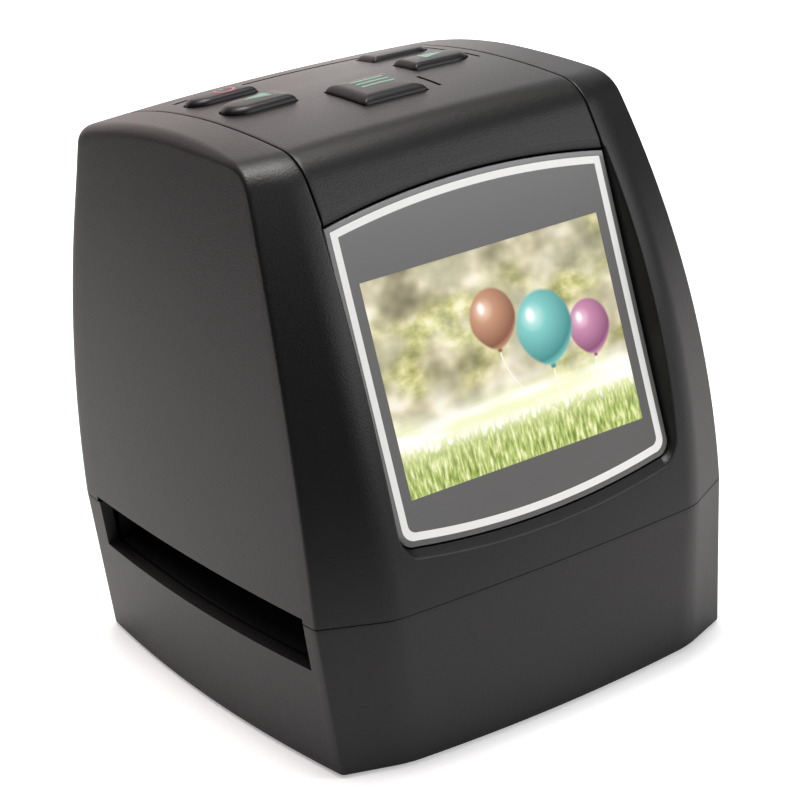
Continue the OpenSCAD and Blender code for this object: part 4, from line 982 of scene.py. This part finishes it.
def planRing(z, w):
    # outline at height z drawn in by w: front and facet, rounded crease, bulged side, rear corner's arc, rear
    e, r = lower["crease"], case["rearCorner"]
    cx, cy, ry = float(creaseX(z)), float(creaseY(z)), float(rearY(z))
    corner = np.array([cx - w, cy + w * 0.55])
    t = np.linspace(0, 1, 40)
    fx = (corner[0] - facetShare * e) * (0.6 * t + 0.4 * np.sin(t * math.pi / 2))
    front = np.stack([fx, frontY(z) + frontRelief(fx, z) + w], -1)
    t = np.linspace(0, 1, 7)[1:-1, None]
    sideStart = corner + np.array([0, e])
    bend = (1 - t) ** 2 * front[-1] + 2 * t * (1 - t) * corner + t ** 2 * sideStart
    y = np.linspace(sideStart[1], ry - r, 60)
    side = np.stack([sideX(y, z) - w, y], -1)
    arc = np.array([cx - r, ry - r]) + (r - w) * arcCurve(0, 90, 10)[1:-1]
    rx = (cx - r) * np.linspace(1, 0, 24)
    rear = np.stack([rx, ry - w + case["rearBulge"] * dome(rx / (cx - r))], -1)
    half = np.concatenate([front, bend, side, arc, rear])
    loop = np.concatenate([half, half[::-1][1:] * np.array([-1, 1])])
    return np.concatenate([loop, np.full((len(loop), 1), z)], 1)


def lowerHousing():
    # outlines stacked from the middle of the floor outside to the middle of the floor inside, with quarter
    # circles at both edges; then the slot and the recesses are cut out
    low, top, e, r = lower["floorZ"], case["partingZ"] - lower["gap"], lower["edge"], lower["lip"]
    turn = np.radians(np.linspace(0, 90, 5))
    rings = [(low + e * (1 - math.cos(t)), e * (1 - math.sin(t))) for t in turn]
    rings += [(z, 0.0) for z in np.linspace(low + e, top - r, 34)[1:]]
    rings += [(top - r * (1 - math.sin(t)), r * (1 - math.cos(t))) for t in turn[1:]]
    rings += [(top, lower["wall"]), (low + lower["floor"], lower["wall"])]
    rows = [planRing(z, w) for z, w in rings]
    rows = [rows[0] * np.array([0, 0, 1])] + rows + [rows[-1] * np.array([0, 0, 1])]
    piece = makeMesh("lower_shell", [np.stack(rows)], [looks["case"]])
    c, sections = slotCut, []
    for x, k in zip(c["x"], (0, 1, 1, 0)):
        y0, y1, z0, z1 = c["front"], c["rear"][k], c["floor"][k], c["top"]
        sections.append([(x, y0, z0), (x, y1, z0), (x, y1, z1), (x, y0, z1), (x, y0, z0)])
    disc = arcCurve(0, 360, 49)[:-1]
    pits = [prism(disc * r + np.array(at) * (side, 1), -1, depth)
            for r, depth, *places in recesses.values() for at in places for side in (-1, 1)]
    cutAway(piece, [makeMesh(name, grids, [looks["case"]], body=None, closed=True)
                    for name, grids in (("slot", [np.array(sections)]), ("recesses", pits))])
    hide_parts("bottom_housing")


lowerHousing()
print("lower housing made")

# screen window: its border and white line from the edge inwards, and the picture under it, in mm
panel = dict(border=0.95, stripe=1.25, edge=0.2, thick=1.2, pictureW=47.2, pictureH=35.6, pictureMid=-1.2,
             under=0.06, past=0.1)


def panelOutline(inset):
    # outline of the window drawn in by the inset: arched top, straight sides, small lower corners, curved
    # lower edge
    s = windowShape
    hw, r = s["halfW"] - inset, s["corner"] - 0.6 * inset
    low = -s["down"] + inset
    u = np.linspace(1, -1, 61) * hw
    top = np.stack([u, s["up"] - inset + s["arch"] * (1 - np.square(u / s["halfW"]))], -1)
    w = np.linspace(top[-1, 1], low + r, 41)[1:]
    left = np.stack([np.full_like(w, -hw), w], -1)
    cornerL = np.array([r - hw, low + r]) + r * arcCurve(180, 270, 9)[1:]
    u = np.linspace(-1, 1, 51)[1:] * (hw - r)
    belly = np.stack([u, low - s["belly"] * dome(u / (hw - r))], -1)
    cornerR, right = (np.stack([-part[::-1, 0], part[::-1, 1]], -1) for part in (cornerL, left))
    return np.concatenate([top, left, cornerL, belly, cornerR[1:], right, top[:1]])


def pictureFrame(hw, hh):
    # rectangle with as many points as the outline: its top, left side, lower edge and right side, with the
    # points of the round corners all on its own corners
    corners = np.array([(hw, hh), (-hw, hh), (-hw, -hh), (-hw, -hh), (hw, -hh), (hw, -hh), (hw, hh)])
    return np.concatenate([corners[:1], splitRuns(corners, (60, 40, 8, 50, 8, 40))])


def screenWindow():
    # panel: rim, border, white line and field as outlines drawn in; the field goes to the picture's edge and
    # a little down behind it
    p = panel
    n, inner = p["edge"], p["border"] + p["stripe"]
    turn = np.radians(np.linspace(0, 90, 4))
    rings = [(0, -p["thick"]), (0, -n)] + [(n * (1 - math.cos(t)), -n * (1 - math.sin(t))) for t in turn[1:]]
    rim = [onPlane(*panelOutline(inset).T, out) for inset, out in rings + [(p["border"], 0)]]
    inside = panelOutline(inner)
    stripe = [rim[-1], onPlane(*inside.T, 0)]
    hw, hh = p["pictureW"] / 2, p["pictureH"] / 2
    rect = pictureFrame(hw, hh) + np.array([0, p["pictureMid"]])
    field = [stripe[-1], onPlane(*((inside + rect) / 2).T, 0), onPlane(*rect.T, 0),
             onPlane(*rect.T, -2 * p["under"])]
    piece = makeMesh("window_panel", [np.stack(rim), np.stack(stripe), np.stack(field)],
                     [looks["window"], looks["print"]], slots=[0, 1, 0], sharp=30)
    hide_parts("screen_window")
    # picture: a flat grid a hair under the mask, with a UV map of its own that spans it
    u, w = (np.linspace(-half - p["past"], half + p["past"], count) for half, count in ((hw, 40), (hh, 30)))
    picture = makeMesh("screen_picture", [onPlane(u[None, :], w[:, None] + p["pictureMid"], -p["under"])],
                       [looks["picture"]])
    mesh = picture.data
    co, loops = np.zeros(len(mesh.vertices) * 3), np.zeros(len(mesh.loops), np.int32)
    mesh.vertices.foreach_get("co", co)
    mesh.loops.foreach_get("vertex_index", loops)
    flat = co.reshape(-1, 3) / mm - planeMid
    uv = np.stack([flat[:, 0] / (2 * hw) + 0.5, (flat @ planeUp - p["pictureMid"]) / (2 * hh) + 0.5], -1)
    mesh.uv_layers.new(name="screen").data.foreach_set("uv", uv[loops].astype(np.float32).ravel())


screenWindow()
print("screen window made")

# camera: place in mm, angles in degrees, focal length in pixels of an image this wide
camera = dict(place=(-214.28, -347.24, 199.67), azimuth=-31.85, elevation=20.80, roll=-5.97, focal=2470.88,
              wide=800, sensor=36)


def placeCamera():
    # view direction from azimuth and elevation, then a turn about it by the roll
    az, el, roll = (math.radians(camera[k]) for k in ("azimuth", "elevation", "roll"))
    back = Vector((math.sin(az) * math.cos(el), -math.cos(az) * math.cos(el), math.sin(el)))
    right = (-back).cross(Vector((0, 0, 1))).normalized()
    up = right.cross(-back)
    rightRolled = right * math.cos(roll) + up * math.sin(roll)
    upRolled = -right * math.sin(roll) + up * math.cos(roll)
    data = bpy.data.cameras.new("view")
    data.sensor_width = camera["sensor"]
    data.lens = camera["focal"] / camera["wide"] * camera["sensor"]
    data.clip_start, data.clip_end = 0.01, 20
    view = bpy.data.objects.new("view", data)
    axes = Matrix((rightRolled, upRolled, back)).transposed().to_4x4()
    view.matrix_world = Matrix.Translation(Vector(camera["place"]) * mm) @ axes
    bpy.context.scene.collection.objects.link(view)
    bpy.context.scene.camera = view


placeCamera()

# size in m, place and watts of each soft box; all look at the middle of the case
lamps = dict(
    top=dict(place=(0.05, 0.05, 0.95), size=(0.4, 0.5), power=9.9, colour="#fffbf9"),
    topLeft=dict(place=(-0.35, 0.05, 0.9), size=(0.4, 0.5), power=1.7, colour="#fff4f2"),
    rear=dict(place=(0.1, 0.9, 0.35), size=(1.0, 0.6), power=2.9, colour="#ffefec"),
    rightRear=dict(place=(0.65, 0.6, 0.3), size=(0.6, 0.5), power=1.1, colour="#ffffff"),
    rightFront=dict(place=(0.6, -0.7, 0.45), size=(0.5, 0.5), power=3.0, colour="#fcfdff"),
    frontLow=dict(place=(0.15, -0.9, 0.3), size=(0.5, 0.5), power=2.1, colour="#f8faff"))
lampsLookAt = Vector((0, 0, 0.05))
for name, lamp in lamps.items():
    data = bpy.data.lights.new(name, "AREA")
    data.shape, data.energy, data.color = "RECTANGLE", lamp["power"], toLinear(lamp["colour"])[:3]
    data.size, data.size_y = lamp["size"]
    light = bpy.data.objects.new(name, data)
    light.location = lamp["place"]
    light.rotation_euler = (lampsLookAt - Vector(lamp["place"])).to_track_quat("-Z", "Y").to_euler()
    light.visible_camera = False
    bpy.context.scene.collection.objects.link(light)

# world: dim for the object's light, white for the view and through glass; mirrored is how much of the white a
# gloss shows, low because a black case shows little but reflections
studio = dict(colour="#ececec", strength=0.01, mirrored=0.08)
world = bpy.data.worlds.new("studio")
bpy.context.scene.world = world
add = clearTree(world)
rays = add("LightPath").outputs
soft = add("Background", {"Color": toLinear(studio["colour"]), "Strength": studio["strength"]})
white = add("Background", {"Color": (1, 1, 1, 1), "Strength": 1.0})
gloss = add("Math MULTIPLY", {0: rays["Is Glossy Ray"], 1: studio["mirrored"]})
through = add("Math MAXIMUM", {0: rays["Is Transmission Ray"], 1: gloss})
whiteFor = add("Math MAXIMUM", {0: rays["Is Camera Ray"], 1: through})
add("OutputWorld", {0: add("MixShader", {0: whiteFor, 1: soft, 2: white})})

# plain pale floor: a wide sheet just under the feet, in m, that turns white away from the object in the view
# and keeps its shadow; for the light that it throws back, the sheet is dark beyond a line on the camera's
# side
sheet = dict(half=4, z=-0.00002, pale=("#f4f4f4", "#f8f8f8"), fibre=0.0025, beyond="#2a2a2a", near=0.04,
             far=0.24, toCamera=(-0.527, -0.85, 0), glow=0.36, whiteFrom=0.25, whiteAt=0.7)
floorMesh = bpy.data.meshes.new("floor")
corners = [(x * sheet["half"], y * sheet["half"], sheet["z"])
           for x, y in ((-1, -1), (1, -1), (1, 1), (-1, 1))]
floorMesh.from_pydata(corners, [], [(0, 1, 2, 3)])
floor = bpy.data.objects.new("floor", floorMesh)
bpy.context.scene.collection.objects.link(floor)
floorLook = bpy.data.materials.new("paper_backdrop_white")
add = clearTree(floorLook)
place = add("TexCoord").outputs["Object"]
fibre = add("TexNoise", {"Vector": place, "Scale": 1 / sheet["fibre"]})
pale = add("Mix RGBA", {0: fibre, 6: toLinear(sheet["pale"][0]), 7: toLinear(sheet["pale"][1])})
forward = add("VectorMath DOT_PRODUCT", {0: place, 1: sheet["toCamera"]})
ends = add("MapRange SMOOTHSTEP", {0: forward, 1: sheet["near"], 2: sheet["far"]})
thrown = add("Mix RGBA", {0: ends, 6: pale, 7: toLinear(sheet["beyond"])})
rays = add("LightPath").outputs
straight = add("Math MAXIMUM", {0: rays["Is Camera Ray"], 1: rays["Is Transmission Ray"]})
seen = add("Mix RGBA", {0: straight, 6: thrown, 7: pale})
away = add("VectorMath LENGTH", {0: place})
glow = add("MapRange", {0: away, 1: sheet["whiteFrom"], 2: sheet["whiteAt"], 3: sheet["glow"], 4: 1.0})
glow = add("Math MULTIPLY", {0: straight, 1: glow})
surface = add("BsdfPrincipled", {"Base Color": seen, "Roughness": 0.8, "Specular IOR Level": 0.0,
                                 "Emission Color": (1, 1, 1, 1), "Emission Strength": glow})
add("OutputMaterial", {0: surface})
floor.data.materials.append(floorLook)
bpy.context.scene.view_settings.view_transform = "Standard"
print("camera and light placed")
